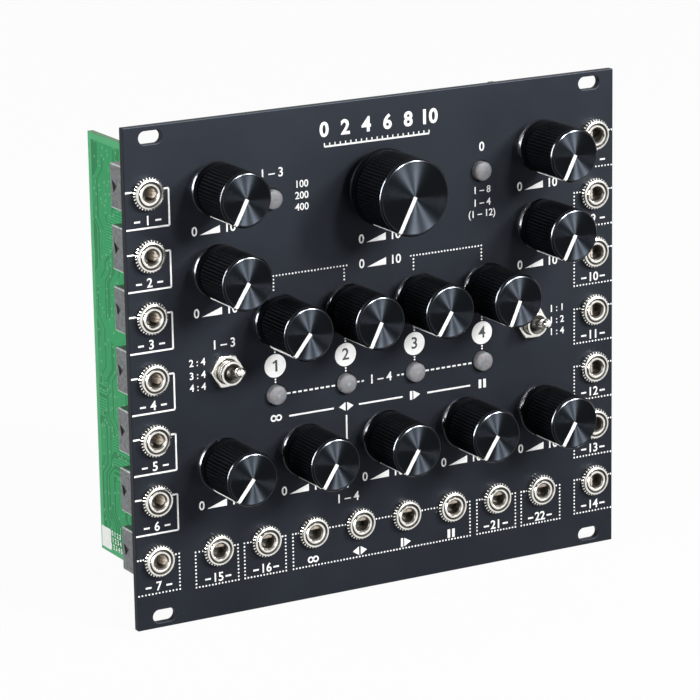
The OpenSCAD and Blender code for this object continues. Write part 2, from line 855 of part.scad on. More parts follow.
front_panel();
left_jack_board();
right_jack_board();
bottom_jack_board();
control_board();
main_board();
jack_housings();
jack_bushings();
jack_nuts();
jack_contacts();
pot_bodies();
pot_bushings();
pot_washers();
hex_nuts();
toggle_bodies();
toggle_bushings();
button_switches();
power_header();
power_pins();
board_connectors();
board_standoffs();
standoff_screws();
circuit_chips();
capacitors();
for (d = dials) {
    knob(d);
    shaft(d);
}
for (b = buttons) button(b[1]);
for (t = toggles) toggle_lever(t[1]);
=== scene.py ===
import json
import math
import random
from functools import partial

import bmesh
import bpy
from mathutils import Euler, Matrix, Vector


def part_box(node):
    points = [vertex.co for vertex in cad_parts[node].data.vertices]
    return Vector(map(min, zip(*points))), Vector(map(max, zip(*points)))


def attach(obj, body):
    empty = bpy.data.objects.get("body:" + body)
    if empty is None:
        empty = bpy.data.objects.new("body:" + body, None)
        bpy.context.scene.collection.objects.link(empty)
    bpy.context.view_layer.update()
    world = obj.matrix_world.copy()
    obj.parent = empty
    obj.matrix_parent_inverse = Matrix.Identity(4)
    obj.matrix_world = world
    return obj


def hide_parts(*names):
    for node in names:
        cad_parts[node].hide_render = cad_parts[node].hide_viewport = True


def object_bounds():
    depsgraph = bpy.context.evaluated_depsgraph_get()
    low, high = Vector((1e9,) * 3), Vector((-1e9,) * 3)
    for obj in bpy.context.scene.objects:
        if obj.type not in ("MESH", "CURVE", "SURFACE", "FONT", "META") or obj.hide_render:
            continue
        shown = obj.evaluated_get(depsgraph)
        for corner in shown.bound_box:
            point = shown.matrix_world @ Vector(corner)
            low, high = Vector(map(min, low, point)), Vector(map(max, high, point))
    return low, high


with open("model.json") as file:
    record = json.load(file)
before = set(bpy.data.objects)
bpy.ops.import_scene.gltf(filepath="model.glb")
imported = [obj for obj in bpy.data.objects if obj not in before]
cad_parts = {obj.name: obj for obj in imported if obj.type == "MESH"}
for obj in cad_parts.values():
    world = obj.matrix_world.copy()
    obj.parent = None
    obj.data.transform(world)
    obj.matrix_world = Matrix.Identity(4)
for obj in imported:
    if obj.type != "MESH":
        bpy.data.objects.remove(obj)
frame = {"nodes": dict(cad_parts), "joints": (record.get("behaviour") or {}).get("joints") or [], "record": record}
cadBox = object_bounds()
print("frame loaded,", len(frame["nodes"]), "nodes")

mm = 0.001
slack = 0.01
quarter = math.pi / 2
fullTurn = 2 * math.pi
random.seed(7)
nodes = frame["nodes"]
bodies = frame["record"]["behaviour"]["bodies"]
mounts = {m["name"]: Vector(m["pos_m"]) / mm for m in frame["record"]["mounts"]}
joints = {j["name"]: j for j in frame["joints"]}

# Shapes are drawn flat, with x to the right, y up and z towards the viewer.
# These turns make them face the front, the back or the left, or lie along the y axis.
upright = Matrix(((1, 0, 0), (0, 0, -1), (0, 1, 0))).to_4x4()
rearward = Matrix(((-1, 0, 0), (0, 0, 1), (0, 1, 0))).to_4x4()
leftward = Matrix(((0, 0, -1), (-1, 0, 0), (0, 1, 0))).to_4x4()
alongY = Matrix(((0, 0, 1), (1, 0, 0), (0, 1, 0))).to_4x4()


def addObject(name, data):
    made = bpy.data.objects.new(name, data)
    bpy.context.scene.collection.objects.link(made)
    return made


# Camera

cameraSet = {
    "place": (-0.44645, -0.7837, 0.23675),
    "right": (0.8704, -0.4921, -0.0159),
    "down": (-0.1392, -0.2149, -0.9667),
    "lens": 187.33,
    "sensor": 36.0,
    "clip": (0.05, 20),
}


def makeCamera(s):
    data = bpy.data.cameras.new("viewCamera")
    data.lens, data.sensor_width = s["lens"], s["sensor"]
    data.clip_start, data.clip_end = s["clip"]
    camera = addObject("viewCamera", data)
    right = Vector(s["right"]).normalized()
    up = -Vector(s["down"])
    up = (up - right * up.dot(right)).normalized()
    turn = Matrix((right, up, right.cross(up))).transposed()
    camera.matrix_world = Matrix.Translation(s["place"]) @ turn.to_4x4()
    bpy.context.scene.camera = camera


makeCamera(cameraSet)


# Node helpers, and groups that several materials share

def feed(tree, node, inputs):
    for name, value in inputs.items():
        if isinstance(value, bpy.types.NodeSocket):
            tree.links.new(value, node.inputs[name])
        else:
            node.inputs[name].default_value = value


def addNode(tree, kind, inputs=None):
    node = tree.nodes.new("ShaderNode" + kind)
    feed(tree, node, inputs or {})
    return node


def addGroup(tree, group, inputs):
    node = addNode(tree, "Group")
    node.node_tree = group
    feed(tree, node, inputs)
    return node.outputs


def makeGroup(name, inputs, outputs):
    tree = bpy.data.node_groups.new(name, "ShaderNodeTree")
    for label, kind in inputs.items():
        tree.interface.new_socket(label, in_out="INPUT", socket_type="NodeSocket" + kind)
    for label in outputs:
        tree.interface.new_socket(label, in_out="OUTPUT", socket_type="NodeSocketFloat")
    return tree, tree.nodes.new("NodeGroupInput").outputs, tree.nodes.new("NodeGroupOutput")


def addNoise(tree, vector, scale, detail, rough=0.55):
    inputs = {"Vector": vector, "Scale": scale, "Detail": detail, "Roughness": rough}
    return addNode(tree, "TexNoise", inputs).outputs["Fac"]


def addMath(tree, operation, *values):
    node = addNode(tree, "Math")
    node.operation = operation
    feed(tree, node, dict(enumerate(values)))
    return node.outputs[0]


def addRange(tree, value, low, high, newLow=0.0, newHigh=1.0):
    inputs = {"Value": value, "From Min": low, "From Max": high, "To Min": newLow, "To Max": newHigh}
    return addNode(tree, "MapRange", inputs).outputs["Result"]


def addMix(tree, factor, *colours):
    node = addNode(tree, "Mix")
    node.data_type = "RGBA"
    a, b = ((*c, 1.0) if isinstance(c, tuple) else c for c in colours)
    feed(tree, node, {"Factor": factor, "A": a, "B": b})
    return node.outputs["Result"]


def addBump(tree, height, shader, strength, size):
    relief = addNode(tree, "Bump", {"Height": height, "Strength": strength, "Distance": size * mm})
    feed(tree, shader, {"Normal": relief.outputs["Normal"]})


surfaceSet = {
    "mottleDetail": 4.0,
    "mottleRange": (0.3, 0.7),
    "grainDetail": 2.0,
    "smudge": (28.0, 6.0, 0.65),
    "smudgeRange": (0.35, 0.68),
}


def makeSurfaceGroup(s):
    inputs = {"Vector": "Vector", "Mottle Scale": "Float", "Grain Scale": "Float"}
    tree, start, end = makeGroup("surfaceDetail", inputs, ["Mottle", "Grain", "Smudge"])
    where = start["Vector"]
    mottle = addNoise(tree, where, start["Mottle Scale"], s["mottleDetail"])
    grain = addNoise(tree, where, start["Grain Scale"], s["grainDetail"])
    smudge = addNoise(tree, where, *s["smudge"])
    mottle = addRange(tree, mottle, *s["mottleRange"])
    smudge = addRange(tree, smudge, *s["smudgeRange"])
    feed(tree, end, {"Mottle": mottle, "Grain": grain, "Smudge": smudge})
    return tree


surfaceDetail = makeSurfaceGroup(surfaceSet)
looks = {}


def addDetail(tree, mottle, grain):
    where = addNode(tree, "TexCoord").outputs["Object"]
    return addGroup(tree, surfaceDetail, {"Vector": where, "Mottle Scale": mottle, "Grain Scale": grain})


def startLook(name):
    looks[name] = bpy.data.materials.new(name)
    looks[name].use_nodes = True
    tree = looks[name].node_tree
    return tree, tree.nodes["Principled BSDF"]


def addLook(name, dark, light, rough, mottle=300.0, grain=3000.0, bump=0.0, bumpSize=0.02, **sockets):
    tree, shader = startLook(name)
    detail = addDetail(tree, mottle, grain)
    inputs = {socket.replace("_", " "): value for socket, value in sockets.items()}
    inputs["Base Color"] = addMix(tree, detail["Mottle"], dark, light)
    inputs["Roughness"] = addRange(tree, detail["Smudge"], 0.0, 1.0, *rough)
    feed(tree, shader, inputs)
    if bump:
        addBump(tree, detail["Grain"], shader, bump, bumpSize)


coolTint = (0.7, 0.8, 1.0, 1.0)
addMetal = partial(addLook, Metallic=1.0)
addLook(
    "panelBlack", (0.003, 0.0038, 0.0056), (0.0042, 0.0053, 0.0076), (0.46, 0.53), mottle=60.0,
    grain=5200.0, bump=0.12, bumpSize=0.015, Specular_IOR_Level=0.13, Specular_Tint=coolTint,
)
addLook(
    "printWhite", (0.8, 0.8, 0.79), (0.88, 0.88, 0.87), (0.5, 0.62), mottle=900.0, grain=6000.0, bump=0.1
)
addLook("printBlack", (0.012, 0.013, 0.016), (0.018, 0.019, 0.022), (0.5, 0.6), mottle=700.0)
addLook(
    "knobBlack", (0.0012, 0.0014, 0.002), (0.002, 0.0023, 0.0032), (0.46, 0.56), grain=4200.0,
    bump=0.08, bumpSize=0.01, Specular_IOR_Level=0.04, Specular_Tint=coolTint,
)
# Painted highlight: a lighter strip along one flank of each flute's crest.
addLook(
    "knobCrestHighlight", (0.006, 0.0066, 0.008), (0.014, 0.015, 0.017), (0.45, 0.55), Specular_IOR_Level=0.05
)
addMetal("knobEdge", (0.018, 0.019, 0.022), (0.028, 0.03, 0.033), (0.16, 0.24))
addMetal(
    "nickel", (0.72, 0.705, 0.66), (0.86, 0.845, 0.8), (0.13, 0.23),
    mottle=500.0, grain=3200.0, bump=0.05, bumpSize=0.01,
)
# Painted shade: this dark metal is laid on the gaps between the nuts' teeth, inside the nuts, on the bushings'
# hidden sides, on one flank of each thread ring and on the levers' balls.
addLook("paintedShadeMetal", (0.03, 0.028, 0.026), (0.06, 0.056, 0.05), (0.4, 0.5), Metallic=0.7)
# Painted shade: the bore walls of the sockets are coloured far darker than their metal.
addMetal("boreShadeMetal", (0.03, 0.025, 0.018), (0.2, 0.175, 0.14), (0.34, 0.48), mottle=1100.0)
addLook(
    "springMetal", (0.42, 0.36, 0.29), (0.62, 0.54, 0.45), (0.42, 0.55), mottle=1200.0, bump=0.1, Metallic=0.35
)
addMetal("zincSteel", (0.5, 0.5, 0.51), (0.6, 0.6, 0.61), (0.28, 0.4), mottle=420.0, bump=0.08)
# Painted shade: the socket contacts, seen through the housings' notches, are coloured dark as shade.
addLook("contactShadeMetal", (0.045, 0.04, 0.034), (0.075, 0.068, 0.056), (0.4, 0.5), mottle=600.0, Metallic=0.6)
addMetal("goldMetal", (0.72, 0.56, 0.24), (0.82, 0.67, 0.34), (0.2, 0.3), mottle=600.0)
addMetal("turnedBrass", (0.6, 0.45, 0.18), (0.72, 0.57, 0.27), (0.22, 0.34), mottle=380.0)
addMetal("shaftAluminium", (0.58, 0.58, 0.58), (0.68, 0.68, 0.67), (0.26, 0.38), mottle=420.0)
addMetal("solderTin", (0.6, 0.61, 0.61), (0.76, 0.76, 0.75), (0.2, 0.36), mottle=1400.0, bump=0.15)
addLook(
    "housingPlastic", (0.03, 0.035, 0.038), (0.14, 0.15, 0.157), (0.26, 0.4), mottle=900.0,
    grain=1100.0, bump=0.5, bumpSize=0.09, Specular_IOR_Level=0.5,
)
# Painted highlight: the housings' bevelled edges take this pale grey.
addLook("housingEdgeHighlight", (0.34, 0.35, 0.355), (0.62, 0.63, 0.635), (0.24, 0.34), mottle=900.0, bump=0.1)
# Black plastic parts; the same black is painted into the housings' notches as shade.
addLook("blackPlasticAndShade", (0.012, 0.012, 0.014), (0.018, 0.018, 0.02), (0.4, 0.54), bump=0.14)
addLook("chipPlastic", (0.016, 0.016, 0.018), (0.024, 0.024, 0.026), (0.55, 0.68), grain=5200.0, bump=0.22)
addLook("ceramicTan", (0.4, 0.27, 0.15), (0.5, 0.36, 0.22), (0.5, 0.6), mottle=900.0)
addLook("potPlastic", (0.03, 0.085, 0.16), (0.04, 0.11, 0.2), (0.36, 0.48), bump=0.1)
addLook("togglePlastic", (0.16, 0.022, 0.018), (0.21, 0.032, 0.026), (0.34, 0.46), bump=0.1)
addMetal("canAluminium", (0.56, 0.57, 0.59), (0.66, 0.67, 0.68), (0.26, 0.36), mottle=420.0)
addLook(
    "buttonPale", (0.135, 0.137, 0.15), (0.2, 0.203, 0.218), (0.55, 0.68), mottle=1300.0,
    grain=2600.0, bump=0.14, Specular_IOR_Level=0.3, Subsurface_Weight=0.25, Subsurface_Scale=0.002,
)
addLook("boardEdge", (0.05, 0.16, 0.06), (0.1, 0.24, 0.1), (0.6, 0.75), mottle=900.0, grain=2600.0, bump=0.3)
print("plain materials made")


# Turned tops of the knobs: fine rings round the axis, which lies at the UV map's origin

turnedSet = {
    "dark": (0.0068, 0.0081, 0.0102),
    "light": (0.0112, 0.0132, 0.0158),
    "rough": (0.4, 0.46),
    "rings": 260.0,
    "ringDetail": 3.0,
    "ringRange": (0.3, 0.7),
    "grainTurn": 0.25,
}


def makeTurnedTop(s):
    tree, shader = startLook("knobTurned")
    uv = addNode(tree, "UVMap")
    tangent = addNode(tree, "Tangent")
    tangent.direction_type = "UV_MAP"
    uv.uv_map = tangent.uv_map = "turning"
    split = addNode(tree, "SeparateXYZ", {0: uv.outputs["UV"]})
    lines = addNode(tree, "TexNoise")
    lines.noise_dimensions = "1D"
    feed(tree, lines, {"W": split.outputs["Y"], "Scale": s["rings"], "Detail": s["ringDetail"]})
    ring = addRange(tree, lines.outputs["Fac"], *s["ringRange"])
    inputs = {
        "Base Color": addMix(tree, ring, s["dark"], s["light"]),
        "Roughness": addRange(tree, ring, 0.0, 1.0, *s["rough"]),
        "Tangent": tangent.outputs["Tangent"],
        "Metallic": 1.0,
        "Anisotropic": 1.0,
        "Anisotropic Rotation": s["grainTurn"],
    }
    feed(tree, shader, inputs)


makeTurnedTop(turnedSet)


# Green boards with tracks under the lacquer

boardGreens = {
    "mask": (0.019, 0.19, 0.067),
    "maskLight": (0.027, 0.235, 0.085),
    "track": (0.047, 0.37, 0.145),
    "fill": (0.034, 0.31, 0.113),
    "pad": (0.2, 0.46, 0.27),
    "rim": (0.085, 0.385, 0.172),
    "hole": (0.006, 0.02, 0.01),
    "tint": (0.5, 1.0, 0.7, 1.0),
}
trackSet = {
    "pitch": 0.75,
    "run": 32.0,
    "width": 0.27,
    "bare": 0.3,
    "wave": 13.0,
    "waveFrom": 5.0,
    "step": 3.2,
    "padIn": 0.4,
    "padReach": 0.06,
    "zone": 12.0,
    "upShare": 0.78,
    "openShare": 0.91,
    "rim": 1.8,
    "viaCell": 2.7,
    "viaShare": 0.5,
    "viaRadius": 0.34,
    "viaHole": 0.14,
    "detail": (45.0, 1800.0),
    "rough": (0.32, 0.44),
    "grain": 0.3,
    "relief": (0.5, 0.04),
    "specular": 0.06,
}


def addPick(tree, dimensions, inputs):
    node = addNode(tree, "TexWhiteNoise")
    node.noise_dimensions = dimensions
    feed(tree, node, inputs)
    return node.outputs["Value"]


def makeTracksGroup(s):
    tree, start, end = makeGroup("boardTracks", {"Along": "Float", "Across": "Float"}, ["Track", "Pad"])
    calc = partial(addMath, tree)
    wave = calc("PINGPONG", start["Along"], s["wave"])
    slant = calc("MAXIMUM", calc("SUBTRACT", wave, s["waveFrom"]), 0.0)
    shifted = calc("ADD", start["Across"], calc("MINIMUM", slant, s["step"]))
    across = calc("DIVIDE", shifted, s["pitch"])
    lane = calc("FLOOR", across)
    offLane = calc("ABSOLUTE", calc("SUBTRACT", calc("FRACT", across), 0.5))
    along = calc("ADD", calc("DIVIDE", start["Along"], s["run"]), addPick(tree, "1D", {"W": lane}))
    cell = addNode(tree, "CombineXYZ", {"X": lane, "Y": calc("FLOOR", along)})
    isLaid = calc("GREATER_THAN", addPick(tree, "2D", {"Vector": cell.outputs[0]}), s["bare"])
    isLine = calc("LESS_THAN", offLane, s["width"])
    fromEnd = calc("SUBTRACT", calc("MULTIPLY", calc("FRACT", along), s["run"]), s["padIn"])
    fromLine = calc("MULTIPLY", offLane, s["pitch"])
    reach = calc("ADD", calc("POWER", fromEnd, 2.0), calc("POWER", fromLine, 2.0))
    isPad = calc("LESS_THAN", reach, s["padReach"])
    feed(tree, end, {"Track": calc("MULTIPLY", isLine, isLaid), "Pad": calc("MULTIPLY", isPad, isLaid)})
    return tree


boardTracks = makeTracksGroup(trackSet)


def addTracks(tree, along, across, isHere):
    layer = addGroup(tree, boardTracks, {"Along": along, "Across": across})
    return [addMath(tree, "MULTIPLY", layer[name], isHere) for name in ("Track", "Pad")]


def addOutside(tree, value, low, high):
    fromMiddle = addMath(tree, "ABSOLUTE", addMath(tree, "SUBTRACT", value, (low + high) / 2))
    return addMath(tree, "GREATER_THAN", fromMiddle, abs(high - low) / 2)


def addCells(tree, vector, size, distance):
    cells = addNode(tree, "TexVoronoi")
    cells.voronoi_dimensions = "2D"
    cells.distance = distance
    feed(tree, cells, {"Vector": vector, "Scale": 1 / size})
    choice = addNode(tree, "SeparateColor", {0: cells.outputs["Color"]})
    return choice.outputs[0], cells.outputs["Distance"]


def addBoardLook(name, turn, box, greens, s):
    tree, shader = startLook(name)
    calc = partial(addMath, tree)
    where = addNode(tree, "TexCoord").outputs["Object"]
    scale = (1 / mm, 1 / mm, 1 / mm)
    spot = addNode(tree, "Mapping", {"Vector": where, "Rotation": turn, "Scale": scale}).outputs[0]
    axes = addNode(tree, "SeparateXYZ", {0: spot}).outputs
    low, high = (Euler(turn).to_matrix() @ (corner / mm) for corner in box)
    span = [(min(low[i], high[i]) + s["rim"], max(low[i], high[i]) - s["rim"]) for i in (0, 1)]
    isRim = calc("MAXIMUM", *(addOutside(tree, axes[i], *span[i]) for i in (0, 1)))
    inside = calc("SUBTRACT", 1.0, isRim)
    zone = addCells(tree, spot, s["zone"], "CHEBYCHEV")[0]
    isUp = calc("LESS_THAN", zone, s["upShare"])
    isOpen = calc("LESS_THAN", zone, s["openShare"])
    isFilled = calc("MULTIPLY", calc("SUBTRACT", 1.0, isOpen), inside)
    upTrack, upPad = addTracks(tree, axes[1], axes[0], isUp)
    sideTrack, sidePad = addTracks(tree, axes[0], axes[1], calc("SUBTRACT", isOpen, isUp))
    track = calc("MULTIPLY", calc("ADD", upTrack, sideTrack), inside)
    choice, fromVia = addCells(tree, spot, s["viaCell"], "EUCLIDEAN")
    isDrilled = calc("LESS_THAN", choice, s["viaShare"])
    ring, hole = (
        calc("MULTIPLY", calc("LESS_THAN", fromVia, s[size] / s["viaCell"]), isDrilled)
        for size in ("viaRadius", "viaHole")
    )
    pads = calc("MAXIMUM", calc("ADD", upPad, sidePad), ring)
    pad, bore = (calc("MULTIPLY", value, inside) for value in (pads, hole))
    detail = addDetail(tree, *s["detail"])
    colour = addMix(tree, detail["Mottle"], greens["mask"], greens["maskLight"])
    for mask, layer in ((isFilled, "fill"), (isRim, "rim"), (track, "track"), (pad, "pad"), (bore, "hole")):
        colour = addMix(tree, mask, colour, greens[layer])
    copper = calc("MAXIMUM", calc("MAXIMUM", track, pad), isFilled)
    height = calc("ADD", copper, calc("MULTIPLY", detail["Grain"], s["grain"]))
    addBump(tree, height, shader, *s["relief"])
    inputs = {
        "Base Color": colour,
        "Roughness": addRange(tree, detail["Smudge"], 0.0, 1.0, *s["rough"]),
        "Specular IOR Level": s["specular"],
        "Specular Tint": greens["tint"],
    }
    feed(tree, shader, inputs)


print("turned and board materials made")


# Mesh helpers, with sizes in millimetres

weld = {"turned": 0.0005, "copy": 0.001, "print": 0.0002}
flatAngle = 0.5


def turned(profile, steps):
    bm = bmesh.new()
    verts = [bm.verts.new((r * mm, 0, h * mm)) for r, h in profile]
    edges = [bm.edges.new(pair) for pair in zip(verts, verts[1:])]
    bmesh.ops.spin(
        bm, geom=verts + edges, cent=(0, 0, 0), axis=(0, 0, 1), angle=fullTurn, steps=steps, use_merge=True
    )
    bmesh.ops.remove_doubles(bm, verts=bm.verts, dist=weld["turned"] * mm)
    bmesh.ops.recalc_face_normals(bm, faces=bm.faces)
    return bm


def arc(radius, middle, start, end, steps):
    turns = [math.radians(start + (end - start) * i / steps) for i in range(steps + 1)]
    return [(radius * math.cos(a), middle + radius * math.sin(a)) for a in turns]


def slab(outline, low, high):
    bm = bmesh.new()
    face = bm.faces.new([bm.verts.new((x * mm, y * mm, low * mm)) for x, y in outline])
    grown = bmesh.ops.extrude_face_region(bm, geom=[face])["geom"]
    raised = [g for g in grown if isinstance(g, bmesh.types.BMVert)]
    bmesh.ops.translate(bm, vec=(0, 0, (high - low) * mm), verts=raised)
    bmesh.ops.recalc_face_normals(bm, faces=bm.faces)
    return bm


def block(size, place):
    bm = bmesh.new()
    bmesh.ops.create_cube(bm, size=1.0)
    bmesh.ops.scale(bm, vec=[v * mm for v in size], verts=bm.verts)
    bmesh.ops.translate(bm, vec=[v * mm for v in place], verts=bm.verts)
    return bm


def stamp(target, shape, places):
    mesh = bpy.data.meshes.new("stamp")
    shape.to_mesh(mesh)
    shape.free()
    for place in places:
        copy = mesh.copy()
        copy.transform(place)
        target.from_mesh(copy)
        bpy.data.meshes.remove(copy)
    bpy.data.meshes.remove(mesh)


def stamped(shape, places):
    bm = bmesh.new()
    stamp(bm, shape, places)
    return bm


def moved(x, y, z=0.0):
    return Matrix.Translation((x * mm, y * mm, z * mm))


def onPanel(x, z, turn=0.0):
    return upright @ moved(x, z) @ Matrix.Rotation(turn, 4, "Z")


def welded(node):
    bm = bmesh.new()
    bm.from_mesh(nodes[node].data)
    bmesh.ops.remove_doubles(bm, verts=bm.verts, dist=weld["copy"] * mm)
    return bm


def bevel(bm, edges, width, segments=2):
    bmesh.ops.bevel(
        bm, geom=edges, offset=width * mm, affect="EDGES", segments=segments, profile=0.5, material=-1
    )


def softCopy(node, width, segments=2, angle=30.0):
    bm = welded(node)
    bmesh.ops.dissolve_limit(bm, angle_limit=math.radians(flatAngle), verts=bm.verts, edges=bm.edges)
    sharp = [e for e in bm.edges if e.is_manifold and e.calc_face_angle(0.0) > math.radians(angle)]
    bevel(bm, sharp, width, segments)
    return bm


def solidBoxes(node):
    bm = welded(node)
    waiting = set(bm.verts)
    boxes = []
    while waiting:
        reached = [waiting.pop()]
        for v in reached:
            for other in (e.other_vert(v) for e in v.link_edges):
                if other in waiting:
                    waiting.remove(other)
                    reached.append(other)
        low, high = (Vector([end(v.co[i] for v in reached) for i in range(3)]) / mm for end in (min, max))
        boxes.append((low, high))
    bm.free()
    return sorted(boxes, key=lambda b: (round(b[0].x, 2), round(b[0].z, 2), round(b[0].y, 2)))


def finishPiece(name, bm, materials, replaced=None, angle=35.0, body="module"):
    mesh = bpy.data.meshes.new(name)
    bm.to_mesh(mesh)
    bm.free()
    for material in materials:
        mesh.materials.append(looks[material])
    mesh.polygons.foreach_set("use_smooth", [True] * len(mesh.polygons))
    mesh.set_sharp_from_angle(angle=math.radians(angle))
    piece = addObject(name, mesh)
    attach(piece, body)
    if replaced:
        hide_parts(replaced)


def bodyOf(node):
    return next(body for body, members in bodies.items() if node in members)


# Panel, and the CAD pieces that keep their own meshes

panelSet = {"edge": 0.18}
keptLooks = {
    "jack_contacts": "contactShadeMetal",
    "button_switches": "blackPlasticAndShade",
    "toggle_bodies": "togglePlastic",
    "pot_bodies": "potPlastic",
    "pot_bushings": "nickel",
    "pot_washers": "zincSteel",
    "power_pins": "goldMetal",
}
plate = softCopy("front_panel", panelSet["edge"])
finishPiece("panelPlate", plate, ["panelBlack"], "front_panel", 15.0)
for name in [n for n in nodes if n in keptLooks or "_shaft" in n]:
    nodes[name].data.materials.clear()
    nodes[name].data.materials.append(looks[keptLooks.get(name, "shaftAluminium")])
print("panel made")


# Knobs

knobSet = {
    "columnsPerFlute": 4,
    "flutePitch": 0.92,
    "fluteDepth": 0.35,
    "lip": 0.12,
    "lineSink": 0.02,
    "footHeight": 2.2,
    "grooveHeight": 0.8,
    "grooveDepth": 0.7,
    "bevelWidth": 0.5,
    "bevelHeight": 0.8,
    "edge": 0.14,
    "discSink": 0.05,
    "footStep": 0.26,
    "footSlope": 0.29,
    "rimDrop": 0.096,
    "largeRadius": 9.0,
    "crestShare": 0.25,
    "hollow": 2.5,
    "wall": 1.4,
    "lineWidth": 1.0,
    "lineDepth": 0.3,
    "lineStart": 0.25,
    "grooveDepthRange": (0.2, 0.3),
    "uvSpan": 10.0,
}
knobLooks = ["knobBlack", "knobTurned", "knobEdge", "knobCrestHighlight"]


def knobBody(radius, foot, top, s):
    e = s["edge"]
    ringTop = foot + s["footHeight"]
    barrelFoot = ringTop + s["grooveHeight"]
    barrelTop = top - s["bevelHeight"]
    root = radius - s["grooveDepth"]
    ring = radius - s["footStep"]
    disc = radius - s["bevelWidth"]
    inner = radius - s["wall"]
    crest = radius - s["lip"]
    level = top - s["discSink"]
    flutes = round(fullTurn * radius / s["flutePitch"])
    profile = [
        (0, foot + s["hollow"]),
        (inner, foot + s["hollow"]),
        (inner, foot + e),
        (inner + e, foot),
        (radius - e, foot),
        (radius, foot + e * 0.3),
        (radius, foot + e),
        (ring, foot + e + s["footSlope"]),
        (ring, ringTop),
        (root, ringTop),
        (root, barrelFoot),
        (crest - e * 2, barrelFoot),
        (crest, barrelFoot + e * 2),
        (crest, barrelTop - e),
        (crest, barrelTop),
        (radius, barrelTop + e * 0.3),
        (radius, barrelTop + e * 0.6),
        (radius - e * 1.25, barrelTop + e * 2),
        (disc + e * 0.6, top - s["rimDrop"]),
        (disc - e * 0.8, top),
        (disc - e * 2, level),
        (disc * 0.66, level),
        (disc * 0.33, level),
        (s["lineStart"], level),
        (0, level - s["discSink"]),
    ]
    bm = turned(profile, flutes * s["columnsPerFlute"])
    for v in bm.verts:
        r = math.hypot(v.co.x, v.co.y)
        if barrelFoot - slack < v.co.z / mm < barrelTop + slack and r > (root + slack) * mm:
            wave = 0.5 - 0.5 * math.cos(flutes * math.atan2(v.co.y, v.co.x))
            v.co.xy *= 1 - s["fluteDepth"] * mm * wave / r
    rims = [(barrelTop + e * 0.6, barrelTop + e * 2), (top - s["rimDrop"], top)]
    if radius < s["largeRadius"]:
        rims.append((foot + e, foot + e + s["footSlope"]))
    turning = bm.loops.layers.uv.new("turning")
    for face in bm.faces:
        middle = face.calc_center_median() / mm
        r = math.hypot(middle.x, middle.y)
        start = math.atan2(middle.y, middle.x)
        isBarrel = r > root and barrelFoot + e * 2 < middle.z < barrelTop - e
        if middle.z > level - s["discSink"] and r < disc - e * 1.5:
            face.material_index = 1
        elif r > disc - e and any(a - slack < middle.z < b + slack for a, b in rims):
            face.material_index = 2
        # Painted highlight: one flank of each crest takes the lighter crest material.
        elif isBarrel and start / fullTurn * flutes % 1.0 < s["crestShare"]:
            face.material_index = 3
        for loop in face.loops:
            away = loop.vert.co.xy.length
            turn = math.atan2(loop.vert.co.y, loop.vert.co.x) - start if away > 0 else 0.0
            turn = (turn + math.pi) % fullTurn - math.pi
            loop[turning].uv = ((start + turn) / fullTurn, away / (s["uvSpan"] * mm))
    return bm


def knobPointer(radius, foot, top, s):
    e, deep, start = s["edge"], s["lineDepth"], s["lineStart"]
    disc = radius - s["bevelWidth"]
    side = radius - s["lineSink"]
    barrelTop = top - s["bevelHeight"]
    ringTop = foot + s["footHeight"]
    lineFoot = ringTop + s["grooveHeight"] + e * 2
    outline = [
        (start, top),
        (e * 0.8 - disc, top),
        (-disc - e * 0.6, top - s["rimDrop"]),
        (-side, barrelTop),
        (-side, lineFoot),
        (deep - side, lineFoot),
        (deep - side, barrelTop),
        (deep - disc, top - deep),
        (start, top - deep),
    ]
    half = s["lineWidth"] / 2
    bm = slab(outline, -half, half)
    ring, markFoot, markTop = side - s["footStep"], foot + e + s["footSlope"], ringTop - e
    mark = [(-ring, markFoot), (-ring, markTop), (deep - ring, markTop), (deep - ring, markFoot)]
    stamp(bm, slab(mark, -half, half), [Matrix()])
    bm.transform(alongY)
    return bm


def pointerTurn(node, middle, top, s):
    shallow, deep = s["grooveDepthRange"]
    floor = [v.co / mm - middle for v in nodes[node].data.vertices if shallow < top + v.co.y / mm < deep]
    return math.atan2(sum(v.x for v in floor), -sum(v.z for v in floor))


for name in [n for n in nodes if "_knob" in n]:
    low, high = (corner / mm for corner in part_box(name))
    middle = (low + high) / 2
    radius, foot, top = (high.x - low.x) / 2, -high.y, -low.y
    place = onPanel(middle.x, middle.z, pointerTurn(name, middle, top, knobSet))
    shape = knobBody(radius, foot, top, knobSet)
    shape.transform(place)
    finishPiece(name + "Turned", shape, knobLooks, name, 28.0, bodyOf(name))
    line = knobPointer(radius, foot, top, knobSet)
    line.transform(place)
    finishPiece(name + "Pointer", line, ["printWhite"], body=bodyOf(name))
print("knobs made")


# Sockets

nutSet = {
    "teeth": 30,
    "columns": 4,
    "corners": (0.0, 0.34, 0.5, 0.84),
    "toothDepth": 0.72,
    "toothHeight": 1.2,
    "toothEdge": 0.12,
    "gapShare": 0.6,
    "footEdge": 0.15,
    "rim": 3.8,
    "rimRise": 0.05,
    "round": 0.4,
    "roundDrop": 0.14,
    "hole": 3.06,
    "lead": 0.2,
    "leadDepth": 0.3,
    "margin": 0.1,
}
bushingSet = {
    "radius": 3.0,
    "bevel": ((0.0, 0.5), (0.2, 0.2), (0.4, 0.0)),
    "bore": 1.8,
    "mouth": 0.4,
    "lip": ((0.08, 0.0), (-0.05, 0.1)),
    "lipDrop": 0.1,
    "boreEdge": 0.02,
    "threadDrop": 0.25,
    "steps": 56,
}
jackSpots = {name: place for name, place in mounts.items() if "_jack_" in name}
boardSide = {"left": 0.0, "right": math.pi, "bottom": quarter}
jackPlaces = [onPanel(p.x, p.z, boardSide[name.split("_")[0]]) for name, p in jackSpots.items()]
nutLow, nutHigh = solidBoxes("jack_nuts")[0]


